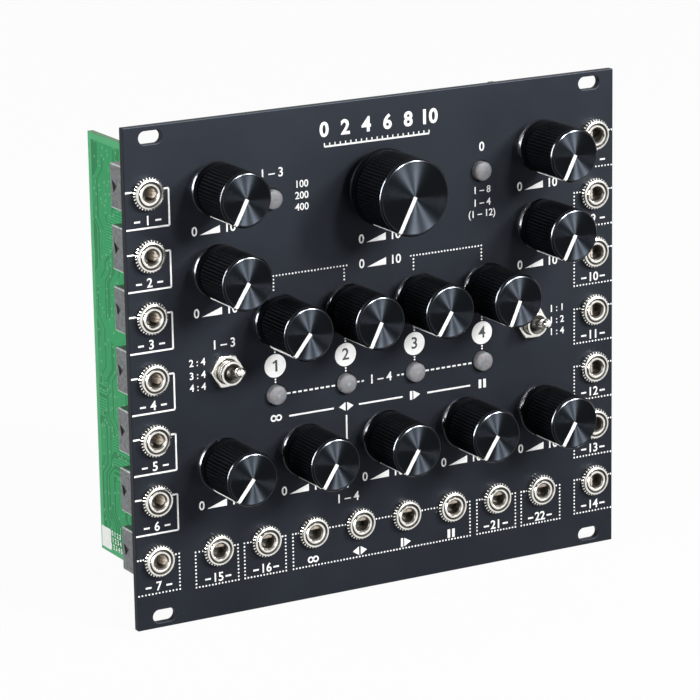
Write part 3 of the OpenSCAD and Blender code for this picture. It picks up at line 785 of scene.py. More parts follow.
def jackNut(outer, foot, top, s):
    rim, hole, edge, columns = s["rim"], s["hole"], s["toothEdge"], s["columns"]
    tall = foot + s["toothHeight"]
    profile = [
        (hole, foot),
        (outer - s["footEdge"], foot),
        (outer, foot + s["footEdge"]),
        (outer, tall - edge),
        (outer - edge, tall),
        (rim, tall + s["rimRise"]),
        (rim, top - s["round"]),
        (rim - edge, top - s["roundDrop"]),
        (rim - s["round"], top),
        (hole + s["lead"], top),
        (hole, top - s["leadDepth"]),
        (hole, foot),
    ]
    bm = turned(profile, s["teeth"] * columns)
    for v in bm.verts:
        r = v.co.xy.length
        turn = math.atan2(v.co.y, v.co.x) / fullTurn * s["teeth"] % 1.0
        if v.co.z < (tall + slack) * mm and r > (rim + s["rimRise"]) * mm:
            column = round(turn * columns) % columns
            steep = Matrix.Rotation((s["corners"][column] - column / columns) * fullTurn / s["teeth"], 2)
            v.co.xy = steep @ v.co.xy * (1 if column < 2 else (outer - s["toothDepth"]) * mm / r)
    for face in bm.faces:
        away = max(v.co.xy.length for v in face.verts) / mm
        drop = top - face.calc_center_median().z / mm
        # Painted shade: the gaps between the teeth and the nut's inner wall take the dark metal.
        isGap = rim - s["margin"] < away < outer - s["toothDepth"] * s["gapShare"] and drop > s["round"]
        isThread = away < hole + s["lead"] + slack and drop > s["margin"]
        face.material_index = 1 if isGap or isThread else 0
    return bm


def jackBushing(top, s):
    outer, bore = s["radius"], s["bore"]
    mouth = bore + s["mouth"]
    profile = [(bore, 0.0), (outer, 0.0)]
    profile += [(outer - inset, top - drop) for inset, drop in s["bevel"]]
    profile += [(mouth + out, top - drop) for out, drop in s["lip"]]
    profile += [(bore, top - s["mouth"] - s["lipDrop"]), (bore, 0.0)]
    bm = turned(profile, s["steps"])
    for face in bm.faces:
        middle = face.calc_center_median() / mm
        # Painted shade: the bore takes the dark bore metal, and the side below the top, hidden in the nut, takes
        # the dark metal.
        if middle.xy.length < bore + s["boreEdge"]:
            face.material_index = 1
        elif middle.z < top - s["threadDrop"]:
            face.material_index = 2
    return bm


nuts = stamped(jackNut((nutHigh.x - nutLow.x) / 2, -nutHigh.y, -nutLow.y, nutSet), jackPlaces)
finishPiece("socketNuts", nuts, ["nickel", "paintedShadeMetal"], "jack_nuts", 30.0)
bushings = stamped(jackBushing(-nutLow.y, bushingSet), jackPlaces)
finishPiece("socketBushings", bushings, ["nickel", "boreShadeMetal", "paintedShadeMetal"], "jack_bushings", 30.0)


# Three spring fingers on the board's side of each bore
springSet = {
    "near": 0.85,
    "far": 1.9,
    "from": 0.4,
    "to": 4.6,
    "width": 0.78,
    "pitch": 0.9,
    "bends": {"left": 2.0, "right": 0.6, "bottom": 0.6},
}


def jackSpring(top, bend, s):
    high, low = top - s["from"], top - s["to"]
    outline = [(s["far"], high), (s["near"], high - bend), (s["near"], low), (s["far"], low)]
    finger = slab(outline, -s["width"] / 2, s["width"] / 2)
    finger.transform(upright)
    return stamped(finger, [moved(0, i * s["pitch"]) for i in (-1, 0, 1)])


springs = bmesh.new()
for side, bend in springSet["bends"].items():
    places = [onPanel(p.x, p.z, boardSide[side]) for name, p in jackSpots.items() if name.startswith(side)]
    stamp(springs, jackSpring(-nutLow.y, bend, springSet), places)
finishPiece("socketSprings", springs, ["springMetal"], angle=20.0)


# Housings, each with a three-cornered notch in its outer wall
housingSet = {
    "edge": 0.34,
    "notch": ((-11.1, 1.5), (-10.3, -1.6), (-8.3, 0.3)),
    "notchDepth": 0.8,
    "notchSlope": 0.05,
    "wallSlope": 0.99,
    "edgeSlope": 0.98,
}


def jackHousing(low, high, s):
    bm = block(high - low, (low + high) / 2)
    bevel(bm, bm.edges[:], s["edge"])
    bm.normal_update()
    wall = next(f for f in bm.faces if f.normal.x < -s["wallSlope"])
    border = wall.edges[:]
    bm.faces.remove(wall)
    corners = [bm.verts.new((low.x * mm, z * mm, h * mm)) for h, z in s["notch"]]
    rim = [bm.edges.new((a, b)) for a, b in zip(corners, corners[1:] + corners[:1])]
    bmesh.ops.triangle_fill(bm, use_beauty=True, use_dissolve=False, edges=border + rim, normal=(-1, 0, 0))
    sunk = bmesh.ops.extrude_edge_only(bm, edges=rim)["geom"]
    floor = [g for g in sunk if isinstance(g, bmesh.types.BMVert)]
    bmesh.ops.translate(bm, vec=(s["notchDepth"] * mm, 0, 0), verts=floor)
    bmesh.ops.contextual_create(bm, geom=[g for g in sunk if isinstance(g, bmesh.types.BMEdge)])
    bmesh.ops.recalc_face_normals(bm, faces=bm.faces)
    # Painted highlight on the bevelled edges; painted shade in the notch, which takes the black.
    for face in bm.faces:
        isNotch = abs(face.normal.y) > s["notchSlope"] and all(v in corners + floor for v in face.verts)
        isEdge = max(abs(c) for c in face.normal) < s["edgeSlope"]
        face.material_index = 2 if isNotch else 1 if isEdge else 0
    return bm


housingLow, housingHigh = solidBoxes("jack_housings")[0]
firstJack = jackSpots["left_jack_7"]
housing = jackHousing(
    Vector((housingLow.x - firstJack.x, housingLow.z - firstJack.z, -housingHigh.y)),
    Vector((housingHigh.x - firstJack.x, housingHigh.z - firstJack.z, -housingLow.y)),
    housingSet,
)
housingLooks = ["housingPlastic", "housingEdgeHighlight", "blackPlasticAndShade"]
finishPiece("socketHousings", stamped(housing, jackPlaces), housingLooks, "jack_housings", 20.0)
print("sockets made")


# Buttons

buttonSet = {"edge": 0.14, "segments": 2, "angle": 20.0}
for name in [n for n in nodes if "_button" in n]:
    shape = softCopy(name, buttonSet["edge"], buttonSet["segments"], buttonSet["angle"])
    finishPiece(name + "Cap", shape, ["buttonPale"], name, 25.0, bodyOf(name))


# Toggle switches

toggleSet = {
    "bushing": 3.0,
    "bore": 1.8,
    "top": 6.5,
    "topEdge": 0.15,
    "topRoom": 0.2,
    "threadFoot": 2.0,
    "threadPitch": 0.9,
    "thread": ((0.4, 0.35), (0.0, 0.6), (0.0, 0.95)),
    "threadSlope": 0.2,
    "funnel": 0.75,
    "funnelEdge": 0.1,
    "steps": 64,
    "ball": 1.75,
    "neck": 0.9,
    "neckTop": 2.1,
    "tip": 1.25,
    "tipFrom": -6.0,
    "length": 7.2,
    "leverSteps": 40,
    "hexEdge": 0.3,
}
toggleLooks = ["nickel", "paintedShadeMetal"]


def toggleBushing(s):
    outer, bore, top, foot, pitch = (s[k] for k in ("bushing", "bore", "top", "threadFoot", "threadPitch"))
    mouth = bore + s["funnel"]
    profile = [(bore, 0.0), (outer, 0.0), (outer, foot)]
    for i in range(int((top - foot) / pitch)):
        profile += [(outer - inset, foot + i * pitch + pitch * share) for inset, share in s["thread"]]
    profile += [(outer - s["topEdge"], top), (mouth, top), (bore, top - s["funnel"]), (bore, 0.0)]
    bm = turned(profile, s["steps"])
    for face in bm.faces:
        middle = face.calc_center_median() / mm
        # Painted shade: one flank of each thread ring and the inside of the bore take the dark metal.
        isLower = face.normal.z > s["threadSlope"] and middle.z < top - s["topRoom"]
        if isLower or middle.xy.length < mouth - s["funnelEdge"]:
            face.material_index = 1
    return bm


def toggleLever(s):
    neckTurn = math.degrees(math.acos(s["neck"] / s["ball"]))
    profile = arc(s["ball"], 0.0, -90.0, neckTurn, 12) + [(s["neck"], s["neckTop"])]
    profile += arc(s["tip"], s["length"] - s["tip"], s["tipFrom"], 90.0, 9)
    bm = turned(profile, s["leverSteps"])
    for face in bm.faces:
        # Painted shade: the ball, which sits in the bushing's mouth, takes the dark metal.
        if face.calc_center_median().z < s["ball"] * math.sin(math.radians(neckTurn)) * mm:
            face.material_index = 1
    return bm


reach = toggleSet["bushing"]
togglePlaces = [onPanel(low.x + reach, low.z + reach) for low, high in solidBoxes("toggle_bushings")]
threads = stamped(toggleBushing(toggleSet), togglePlaces)
finishPiece("toggleThreads", threads, toggleLooks, "toggle_bushings", 30.0)
for side in ("left", "right"):
    joint = joints[side + "_toggle_tilt"]
    lean = Matrix.Rotation(-math.radians(joint["range_deg"][1] / 2), 4, "X")
    shape = toggleLever(toggleSet)
    shape.transform(Matrix.Translation(joint["pos_m"]) @ upright @ lean)
    finishPiece(side + "Lever", shape, toggleLooks, side + "_toggle_lever", 40.0, side + "_toggle")
finishPiece("hexNuts", softCopy("hex_nuts", toggleSet["hexEdge"]), ["nickel"], "hex_nuts", 20.0)
print("buttons and toggles made")


# Boards, each with the axis that its faces look along

boardSet = {"edge": 0.08, "faceSlope": 0.9}
boardTurns = ((0.0, quarter, quarter), (-quarter, 0.0, 0.0), (0.0, 0.0, 0.0))
boardAxes = {
    "left_jack_board": 0,
    "right_jack_board": 0,
    "bottom_jack_board": 2,
    "control_board": 1,
    "main_board": 1,
}
for node, axis in boardAxes.items():
    name = node.split("_")[0] + "Board"
    addBoardLook(name + "Green", boardTurns[axis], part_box(node), boardGreens, trackSet)
    shape = softCopy(node, boardSet["edge"], 1)
    shape.normal_update()
    for face in shape.faces:
        face.material_index = 0 if abs(face.normal[axis]) > boardSet["faceSlope"] else 1
    finishPiece(name, shape, [name + "Green", "boardEdge"], node)
mainLow, mainHigh = (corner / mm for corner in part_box("main_board"))
print("boards made")


# Solder joints of the sockets and dials, on the faces away from them

solderSet = {
    "radius": 0.85,
    "height": 0.8,
    "profile": ((1.0, 0.0), (0.62, 0.22), (0.4, 0.6), (0.3, 1.0), (0.0, 1.0)),
    "steps": 10,
    "socketPins": ((2.2, -2.4), (5.4, 2.4), (8.4, -2.4)),
    "dialPins": 2.5,
    "dialDrop": 7.0,
}


def solderJoint(s):
    return turned([(r * s["radius"], h * s["height"]) for r, h in s["profile"]], s["steps"])


def solderPlaces(s):
    places = []
    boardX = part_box("right_jack_board")[0].x / mm
    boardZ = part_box("bottom_jack_board")[1].z / mm
    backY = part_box("control_board")[1].y / mm
    for name, spot in jackSpots.items():
        for depth, aside in s["socketPins"]:
            if "bottom" in name:
                places.append(moved(spot.x + aside, depth, boardZ))
            else:
                way = -1 if "right" in name else 1
                lean = Matrix.Rotation(way * quarter, 4, "Y")
                places.append(moved(-way * boardX, depth, spot.z + aside) @ lean)
    for name, joint in joints.items():
        if name.endswith("_turn"):
            x, z = joint["pos_m"][0] / mm, joint["pos_m"][2] / mm
            for i in (-1, 0, 1):
                places.append(moved(x + i * s["dialPins"], backY, z - s["dialDrop"]) @ rearward)
    return places


finishPiece("solderJoints", stamped(solderJoint(solderSet), solderPlaces(solderSet)), ["solderTin"])


# Chips with their legs, and small parts round them

chipSet = {
    "edge": 0.12,
    "legThick": 0.14,
    "legReach": 0.95,
    "legDrop": 0.45,
    "legRoot": -0.1,
    "legRise": 0.55,
    "square": (0.65, 0.26),
    "long": (0.8, 0.34),
    "short": (1.27, 0.44),
    "longFrom": 15.0,
    "margin": 0.7,
    "near": 0.1,
}
chipBoxes = solidBoxes("circuit_chips")
xAxis, yAxis, zAxis = Vector((1, 0, 0)), Vector((0, 1, 0)), Vector((0, 0, 1))


def chipLeg(width, rise, s):
    t, drop, reach, root = s["legThick"], s["legDrop"], s["legReach"], s["legRoot"]
    outline = [(root, rise), (drop, rise), (drop + 0.15, t), (reach, t), (reach, 0)]
    outline += [(drop + 0.03, 0), (drop - 0.12, rise - t), (root, rise - t)]
    bm = slab(outline, -width / 2, width / 2)
    bm.transform(upright)
    return bm


def chipLegs(boxes, s):
    legs = bmesh.new()
    for low, high in boxes:
        wide, tall = high.x - low.x, high.z - low.z
        middle, longest = (low + high) / 2, max(wide, tall)
        isSquare = abs(wide - tall) < s["near"]
        pitch, width = s["square" if isSquare else "long" if longest > s["longFrom"] else "short"]
        places = []
        for out, along, half, length in ((xAxis, -zAxis, wide / 2, tall), (zAxis, xAxis, tall / 2, wide)):
            if not isSquare and length < longest - s["near"]:
                continue
            count = int((length - 2 * s["margin"]) / pitch) + 1
            for side in (-1, 1):
                axes = Matrix((out * side, along * side, yAxis)).transposed().to_4x4()
                for i in range(count):
                    at = middle + out * side * half + along * (i - (count - 1) / 2) * pitch
                    places.append(moved(at.x, low.y, at.z) @ axes)
        stamp(legs, chipLeg(width, (high.y - low.y) * s["legRise"], s), places)
    return legs


chips = softCopy("circuit_chips", chipSet["edge"], 1)
finishPiece("chipBodies", chips, ["chipPlastic"], "circuit_chips")
finishPiece("chipLegs", chipLegs(chipBoxes, chipSet), ["solderTin"])

smallSet = {
    "count": 150,
    "length": 1.6,
    "width": 0.8,
    "height": 0.5,
    "end": 0.32,
    "endGrow": (1.05, 1.06),
    "room": 1.4,
    "margin": 3,
    "apart": 2.4,
}


def smallParts(s):
    taken = chipBoxes + [b for n in ("capacitors", "standoff_screws", "power_header") for b in solidBoxes(n)]
    length, width, height, end, margin = (s[k] for k in ("length", "width", "height", "end", "margin"))
    endWidth, endHeight = width * s["endGrow"][0], height * s["endGrow"][1]
    room = s["room"] + length / 2
    bodyShape, endShape = bmesh.new(), bmesh.new()
    placed = []
    while len(placed) < s["count"]:
        x = round(random.uniform(mainLow.x + margin, mainHigh.x - margin) * 2) / 2
        z = round(random.uniform(mainLow.z + margin, mainHigh.z - margin) * 2) / 2
        if any(a.x - room < x < b.x + room and a.z - room < z < b.z + room for a, b in taken):
            continue
        if any(abs(x - p) < s["apart"] and abs(z - q) < s["apart"] for p, q in placed):
            continue
        placed.append((x, z))
        place = rearward @ moved(-x, z, mainHigh.y) @ Matrix.Rotation(random.choice((0.0, quarter)), 4, "Z")
        middle = block((length - 2 * end, width, height), (0, 0, height / 2))
        tint = random.choice((0, 1))
        for face in middle.faces:
            face.material_index = tint
        stamp(bodyShape, middle, [place])
        for side in (-1, 1):
            along = side * (length - end) / 2
            stamp(endShape, block((end, endWidth, endHeight), (along, 0, endHeight / 2)), [place])
    finishPiece("smallParts", bodyShape, ["chipPlastic", "ceramicTan"])
    finishPiece("smallPartEnds", endShape, ["solderTin"])


smallParts(smallSet)


# Can capacitors, screws, header and connectors

canSet = {"edge": 0.3, "base": 1.0, "markInset": 0.15, "markArc": (-60.0, 60.0, 10), "markRaise": 0.03}


def canCapacitors(s):
    bm = softCopy("capacitors", s["edge"])
    baseTop = mainHigh.y + s["base"] + slack
    for face in bm.faces:
        face.material_index = 1 if face.calc_center_median().y / mm < baseTop else 0
    finishPiece("canBodies", bm, ["canAluminium", "blackPlasticAndShade"], "capacitors")
    marks = bmesh.new()
    for low, high in solidBoxes("capacitors"):
        outline = arc((high.x - low.x) / 2 - s["markInset"] - s["edge"], 0.0, *s["markArc"])
        middle = (low + high) / 2
        stamp(marks, slab(outline, high.y, high.y + s["markRaise"]), [rearward @ moved(-middle.x, middle.z)])
    finishPiece("canMarks", marks, ["printBlack"])


canCapacitors(canSet)

screwSet = {
    "recess": 1.25,
    "recessDepth": 1.2,
    "recessEdge": (0.2, 0.1),
    "edge": 0.3,
    "headHeight": 1.9,
    "shank": 1.5,
    "sides": 6,
    "steps": 36,
}


def standoffScrew(head, length, s):
    top, recess, edge, shank = s["headHeight"], s["recess"], s["edge"], s["shank"]
    out, drop = s["recessEdge"]
    profile = [
        (0, top - s["recessDepth"]),
        (recess, top - s["recessDepth"]),
        (recess, top - drop),
        (recess + out, top),
        (head - edge, top),
        (head - edge * 0.3, top - edge * 0.3),
        (head, top - edge),
        (head, 0),
        (shank, 0),
        (shank, top - length),
        (0, top - length),
    ]
    bm = turned(profile, s["steps"])
    half = math.pi / s["sides"]
    for v in bm.verts:
        if v.co.z > 0 and 0 < v.co.xy.length < (recess + drop) * mm:
            turn = math.atan2(v.co.y, v.co.x) % (2 * half) - half
            v.co.xy *= math.cos(half) / math.cos(turn)
    return bm


screws = bmesh.new()
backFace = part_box("main_board")[1].y / mm
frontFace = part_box("control_board")[0].y / mm
for low, high in solidBoxes("standoff_screws"):
    middle = (low + high) / 2
    level, turn = (backFace, rearward) if high.y > backFace else (frontFace, upright)
    screw = standoffScrew((high.x - low.x) / 2, high.y - low.y, screwSet)
    stamp(screws, screw, [moved(middle.x, level, middle.z) @ turn])
finishPiece("screws", screws, ["zincSteel"], "standoff_screws", 30.0)
softSet = {
    "headerShroud": ("power_header", 0.15, "blackPlasticAndShade", "black_plastic"),
    "boardPlugs": ("board_connectors", 0.2, "blackPlasticAndShade", "black_plastic"),
    "standoffs": ("board_standoffs", 0.2, "turnedBrass", "standoff"),
}
for name, (node, edge, look, slot) in softSet.items():
    finishPiece(name, softCopy(node, edge), [look], node, 20.0)
print("board parts made")


# Print, drawn as thin raised shapes

printSet = {
    "raise": 0.03,
    "topShare": 0.6,
    "line": 0.45,
    "dot": 0.5,
    "dotPitch": 0.93,
    "dash": 1.1,
    "dashGap": 0.6,
    "figure": 3.3,
    "smallFigure": 2.6,
    "weight": 0.05,
    "smallWeight": 0.03,
    "dashFrom": 2.1,
    "dashTo": 3.7,
}


class PrintSheet:
    def __init__(self, level, thick=printSet["raise"]):
        self.bm = bmesh.new()
        self.low, self.high = level, level + thick

    def shape(self, outline, x=0.0, z=0.0):
        stamp(self.bm, slab(outline, self.low, self.high), [moved(x, z)])

    def bar(self, x0, z0, x1, z1, width=printSet["line"]):
        half = math.hypot(x1 - x0, z1 - z0) / 2
        turn = Matrix.Rotation(math.atan2(z1 - z0, x1 - x0), 4, "Z")
        outline = [(-half, -width / 2), (half, -width / 2), (half, width / 2), (-half, width / 2)]
        stamp(self.bm, slab(outline, self.low, self.high), [moved((x0 + x1) / 2, (z0 + z1) / 2) @ turn])

    def disc(self, x, z, radius, segments=8):
        self.shape(arc(radius, 0.0, 0.0, 360.0 - 360.0 / segments, segments - 1), x, z)

    def ring(self, x, z, outer, inner):
        low, high = self.low, self.high
        corners = [(inner, low), (outer, low), (outer, high), (inner, high), (inner, low)]
        stamp(self.bm, turned(corners, 32), [moved(x, z)])

    def dots(self, x0, z0, x1, z1):
        count = max(1, round(math.hypot(x1 - x0, z1 - z0) / printSet["dotPitch"]))
        for i in range(count + 1):
            self.disc(x0 + (x1 - x0) * i / count, z0 + (z1 - z0) * i / count, printSet["dot"] / 2)

    def dashes(self, x0, x1, z):
        gap = printSet["dashGap"]
        count = max(1, round((x1 - x0 + gap) / (printSet["dash"] + gap)))
        pitch = (x1 - x0 + gap) / count
        for i in range(count):
            self.bar(x0 + i * pitch, z, x0 + (i + 1) * pitch - gap, z)

    def frame(self, x0, z0, x1, z1, width):
        for ends in ((x0, z0, x1, z0), (x1, z0, x1, z1), (x1, z1, x0, z1), (x0, z1, x0, z0)):
            self.bar(*ends, width)

    def figures(self, text, x, z, size=printSet["figure"], weight=printSet["weight"]):
        curve = bpy.data.curves.new("figures", "FONT")
        curve.body = text
        curve.size = size * mm
        curve.align_x = curve.align_y = "CENTER"
        curve.extrude = (self.high - self.low) / 2 * mm
        curve.offset = weight * mm
        curve.resolution_u = 3
        holder = addObject("figures", curve)
        graph = bpy.context.evaluated_depsgraph_get()
        mesh = bpy.data.meshes.new_from_object(holder.evaluated_get(graph))
        mesh.transform(moved(x, z, (self.low + self.high) / 2))
        self.bm.from_mesh(mesh)
        bpy.data.meshes.remove(mesh)
        bpy.data.objects.remove(holder)
        bpy.data.curves.remove(curve)

    def finish(self, name, material, turn):
        bmesh.ops.remove_doubles(self.bm, verts=self.bm.verts, dist=weld["print"] * mm)
        self.bm.transform(turn)
        finishPiece(name, self.bm, [material], angle=30.0)


panelLevel = -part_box("front_panel")[0].y / mm
white = PrintSheet(panelLevel)
black = PrintSheet(panelLevel + printSet["raise"], printSet["raise"] * printSet["topShare"])


# Frames round the sockets, open where the nuts are

frameSet = {
    "inner": 58.95,
    "outer": 70.75,
    "above": 0.7,
    "below": -8.65,
    "nutRoom": 4.1,
    "solid": 6,
    "figureDrop": 6.9,
}
lowSet = {
    "top": -46.2,
    "low": -55.55,
    "ends": (54.35, 42.28, 40.45, 28.57, 26.43),
    "figureZ": -53.9,
    "firstFigure": 15,
}
rowX = sorted(p.x for name, p in jackSpots.items() if "bottom" in name)


def socketNumber(sheet, number, x, z):
    sheet.figures(str(number), x, z)
    for side in (-1, 1):
        sheet.bar(x + side * printSet["dashFrom"], z, x + side * printSet["dashTo"], z)


def sideFrames(sheet, s):
    sideJacks = [name for name in jackSpots if "bottom" not in name]
    for i, name in enumerate(sideJacks):
        x, z = jackSpots[name].x, jackSpots[name].z
        way = -1 if "left" in name else 1
        isSolid = way < 0 and int(name.split("_")[-1]) <= s["solid"]
        draw = sheet.bar if isSolid else sheet.dots
        inner, room = way * s["inner"], way * s["nutRoom"]
        outer = way * (s["outer"] if isSolid else s["outer"] - printSet["dot"] / 2)
        top, low = z + s["above"], z + s["below"]
        draw(outer, top, x + room, top)
        draw(x - room, top, inner, top)
        draw(inner, top, inner, low)
        draw(inner, low, outer, low)
        socketNumber(sheet, i + 1, x, z - s["figureDrop"])


def lowFrames(sheet, s):
    a, b, c, d, e = s["ends"]
    for left, right in ((-a, -b), (-c, -d), (-e, e), (d, c), (b, a)):
        for x in (left, right):
            sheet.dots(x, s["top"], x, s["low"])
        sheet.dots(left, s["low"], right, s["low"])
        inside = [x for x in rowX if left < x < right]
        gaps = [v for x in inside for v in (x - frameSet["nutRoom"], x + frameSet["nutRoom"])]
        stops = [left] + gaps + [right]
        for start, end in zip(stops[::2], stops[1::2]):
            sheet.dots(start, s["top"], end, s["top"])
        if len(inside) == 1:
            socketNumber(sheet, s["firstFigure"] + rowX.index(inside[0]), inside[0], s["figureZ"])


sideFrames(white, frameSet)
lowFrames(white, lowSet)


# Bracket, numbered discs and lines of the playback group

groupSet = {
    "bracketZ": 22.2,
    "bracketGap": 9.4,
    "dropTo": 18.6,
    "overDisc": (3.9, 2.5),
    "underDisc": (-4.6, -5.3),
    "discZ": -1.05,
    "discRadius": 3.05,
    "discSides": 48,
    "figure": 4.3,
    "weight": 0.07,
    "dashZ": -8.72,
    "dashRoom": 3.2,
    "shortDash": (4.9, 6.9),
    "signZ": -14.7,
    "signRoom": 3.7,
    "stemDrop": 2.3,
    "stemTo": -36.4,
}
groupX = [joints[f"playback_{i}_turn"]["pos_m"][0] / mm for i in (1, 2, 3, 4)]


def numberOne(sheet, x, z):
    sheet.bar(x + 0.3, z - 1.5, x + 0.3, z + 1.5, 0.62)
    sheet.bar(x - 0.65, z + 0.75, x + 0.3, z + 1.3, 0.5)


def endlessSign(sheet, x, z):
    for side in (-1, 1):
        sheet.ring(x + side * 0.74, z, 0.88, 0.46)


def turnSign(sheet, x, z):
    for side in (-1, 1):
        sheet.shape([(side * 0.25, -1.15), (side * 2.1, 0.0), (side * 0.25, 1.15)], x, z)


def playSign(sheet, x, z):
    sheet.bar(x - 1.15, z - 1.15, x - 1.15, z + 1.15, 0.7)
    sheet.shape([(-0.45, -1.15), (1.5, 0.0), (-0.45, 1.15)], x, z)


def pauseSign(sheet, x, z):
    for side in (-1, 1):
        sheet.bar(x + side * 0.7, z - 1.15, x + side * 0.7, z + 1.15, 0.8)


signs = (endlessSign, turnSign, playSign, pauseSign)


def playbackGroup(sheet, top, s):
    bracketZ, discZ, dashZ, signZ = (s[k] for k in ("bracketZ", "discZ", "dashZ", "signZ"))
    for start, end in ((groupX[0], -s["bracketGap"]), (s["bracketGap"], groupX[3])):
        sheet.dots(start, bracketZ, end, bracketZ)
    for i, x in enumerate(groupX):
        for high, low in ((bracketZ - printSet["dotPitch"], s["dropTo"]), s["overDisc"], s["underDisc"]):
            sheet.dots(x, high, x, low)
        sheet.disc(x, discZ, s["discRadius"], s["discSides"])
        if i == 0:
            numberOne(top, x, discZ)
        else:
            top.figures(str(i + 1), x, discZ, s["figure"], s["weight"])
        signs[i](sheet, x, signZ)
        signs[i](sheet, rowX[i + 2], lowSet["figureZ"])
    for left, right in zip(groupX, groupX[1:]):
        sheet.bar(left + s["signRoom"], signZ, right - s["signRoom"], signZ)
    for left, right in ((0, 1), (2, 3)):
        sheet.dashes(groupX[left] + s["dashRoom"], groupX[right] - s["dashRoom"], dashZ)
    for side in (-1, 1):
        sheet.dashes(*sorted(side * x for x in s["shortDash"]), dashZ)
    sheet.bar(groupX[1], signZ - s["stemDrop"], groupX[1], s["stemTo"])


playbackGroup(white, black, groupSet)


# Scales of the dials and numbers of the settings

scaleSet = {
    "drop": 10.85,
    "largeDrop": 13.5,
    "middleDrop": 0.3,
    "wedgeFrom": -3.5,
    "wedgeTo": 2.1,
    "wedgeHeight": 1.9,
    "low": -5.0,
    "high": 4.9,
}


def levelScale(sheet, x, z, s):
    foot = -s["wedgeHeight"] / 2
    sheet.figures("0", x + s["low"], z)
    sheet.shape([(s["wedgeFrom"], foot), (s["wedgeTo"], foot), (s["wedgeTo"], -foot)], x, z)
    sheet.figures("10", x + s["high"], z)


for name, joint in joints.items():
    if name.endswith("_turn") and "playback" not in name:
        x, z = joint["pos_m"][0] / mm, joint["pos_m"][2] / mm
        levelScale(white, x, z - scaleSet["largeDrop" if name == "speed_turn" else "drop"], scaleSet)
levelScale(white, 0.0, groupSet["bracketZ"] - scaleSet["middleDrop"], scaleSet)

settingSet = {
    "leftToggle": (-52.4, ((2.9, "2 : 4"), (-0.4, "3 : 4"), (-3.5, "4 : 4"))),
    "rightToggle": (53.5, ((2.4, "1 : 1"), (-0.8, "1 : 2"), (-3.9, "1 : 4"))),
    "mode": (-21.9, ((44.7, "100"), (41.8, "200"), (38.85, "400"))),
    "tap": (30.75, ((36.8, "1 – 8"), (33.5, "1 – 4"), (30.6, "(1 – 12)"))),
}
titleSet = (
    ("1 – 3", -44.85, 6.7),
    ("1 – 3", -30.3, 48.4),
    ("0", 30.8, 48.1),
    ("1 – 4", 0.0, -8.75),
    ("1 – 4", -10.2, -39.1),
)
for x, rows in settingSet.values():
    for z, text in rows:
        white.figures(text, x, z, printSet["smallFigure"], printSet["smallWeight"])
for text, x, z in titleSet:
    white.figures(text, x, z)

rulerSet = {
    "half": 15.2,
    "lineZ": 53.4,
    "figureZ": 57.6,
    "size": 5.2,
    "weight": 0.16,
    "tick": 0.9,
    "tickShare": 0.7,
    "steps": 20,
}


def ruler(sheet, s):
    half, z = s["half"], s["lineZ"]
    sheet.bar(-half, z, half, z)
    for i in range(s["steps"] + 1):
        x = half * (2 * i / s["steps"] - 1)
        sheet.bar(x, z, x, z + s["tick"], printSet["line"] * s["tickShare"])
        if i % 4 == 0:
            sheet.figures(str(i // 2), x, s["figureZ"], s["size"], s["weight"])


ruler(white, rulerSet)
white.finish("panelPrint", "printWhite", upright)
black.finish("panelFigures", "printBlack", upright)


# Marks on the boards

markSet = {
    "patch": (-40.0, -54.6, -34.6, -49.0),
    "figuresX": -31.2,
    "figuresZ": (-49.8, -51.6, -53.4),
    "size": 1.9,
    "weight": 0.04,
    "line": 0.16,
    "clear": 1.5,
}
sideMarks = PrintSheet(-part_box("left_jack_board")[0].x / mm)
x0, z0, x1, z1 = markSet["patch"]
sideMarks.shape([(x0, z0), (x1, z0), (x1, z1), (x0, z1)])
for i, z in enumerate(markSet["figuresZ"]):
    text = "0 1 2 3"[i:] + " 4 5 6"[: 2 * i + 1]
    sideMarks.figures(text, markSet["figuresX"], z, markSet["size"], markSet["weight"])
sideMarks.finish("sideMarks", "printWhite", leftward)
rearMarks = PrintSheet(mainHigh.y)
for low, high in chipBoxes:
    grow = markSet["clear"]
    rearMarks.frame(-low.x + grow, low.z - grow, -high.x - grow, high.z + grow, markSet["line"])
rearMarks.finish("rearMarks", "printWhite", rearward)
print("print made")


# Floor, light and world

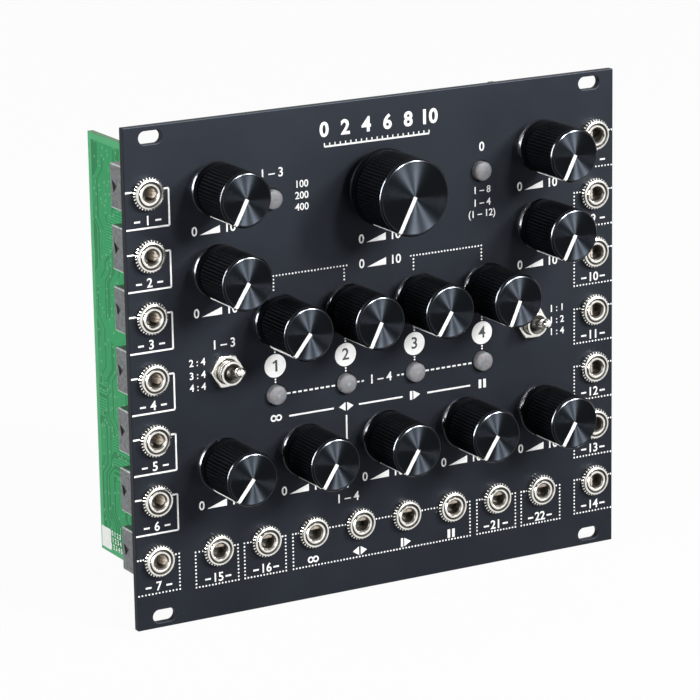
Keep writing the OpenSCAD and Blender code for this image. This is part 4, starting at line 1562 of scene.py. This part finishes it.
stageSet = {
    "floor": (0.86, 0.86, 0.86, 1.0),
    "floorRough": 0.9,
    "floorSize": 6.0,
    "floorGap": 0.0002,
    "floorGlow": 0.95,
    "world": (1.0, 1.0, 1.0, 1.0),
    "worldStrength": 0.4,
}
lampSet = {
    "keyLamp": {"place": (0.46, -0.84, 0.5), "size": (0.34, 0.34), "watts": 9.0},
    "sideLamp": {"place": (-1.0, -0.45, 0.12), "size": (0.3, 0.5), "watts": 7.0},
    "glossNear": {"place": (0.15, -0.92, 0.52), "size": (0.15, 0.3), "watts": 40.0},
    "glossFar": {"place": (0.54, -0.75, 0.52), "size": (0.15, 0.3), "watts": 40.0},
    "glossSide": {"place": (-1.0, -0.45, 0.3), "size": (0.15, 0.9), "watts": 40.0},
}


def backgroundRays(tree):
    rays = addNode(tree, "LightPath").outputs
    seen = addMath(tree, "MAXIMUM", rays["Is Camera Ray"], rays["Is Glossy Ray"])
    return addMath(tree, "MAXIMUM", seen, rays["Is Transmission Ray"])


def makeFloor(s):
    bm = bmesh.new()
    bmesh.ops.create_grid(bm, x_segments=1, y_segments=1, size=s["floorSize"])
    bmesh.ops.translate(bm, vec=(0, 0, cadBox[0].z - s["floorGap"]), verts=bm.verts)
    mesh = bpy.data.meshes.new("floor")
    bm.to_mesh(mesh)
    bm.free()
    floor = addObject("floor", mesh)
    tree, shader = startLook("floorPaper")
    feed(tree, shader, {"Base Color": s["floor"], "Roughness": s["floorRough"], "Specular IOR Level": 0.0})
    share = addMath(tree, "MULTIPLY", backgroundRays(tree), s["floorGlow"])
    glow = addNode(tree, "Emission")
    mix = addNode(tree, "MixShader", {"Fac": share, 1: shader.outputs[0], 2: glow.outputs[0]})
    feed(tree, tree.nodes["Material Output"], {"Surface": mix.outputs[0]})
    mesh.materials.append(looks["floorPaper"])


def makeWorld(s):
    world = bpy.data.worlds.new("studio")
    bpy.context.scene.world = world
    world.use_nodes = True
    tree = world.node_tree
    strength = addRange(tree, backgroundRays(tree), 0.0, 1.0, s["worldStrength"], 1.0)
    feed(tree, tree.nodes["Background"], {"Color": s["world"], "Strength": strength})


def makeLamps(rows):
    for name, row in rows.items():
        data = bpy.data.lights.new(name, "AREA")
        data.shape = "RECTANGLE"
        data.size, data.size_y = row["size"]
        data.energy = row["watts"]
        lamp = addObject(name, data)
        lamp.location = row["place"]
        lamp.rotation_euler = (-lamp.location).to_track_quat("-Z", "Y").to_euler()
        lamp.visible_diffuse = not name.startswith("gloss")


makeFloor(stageSet)
makeWorld(stageSet)
makeLamps(lampSet)
bpy.context.scene.view_settings.view_transform = "Standard"
print("stage and light made")
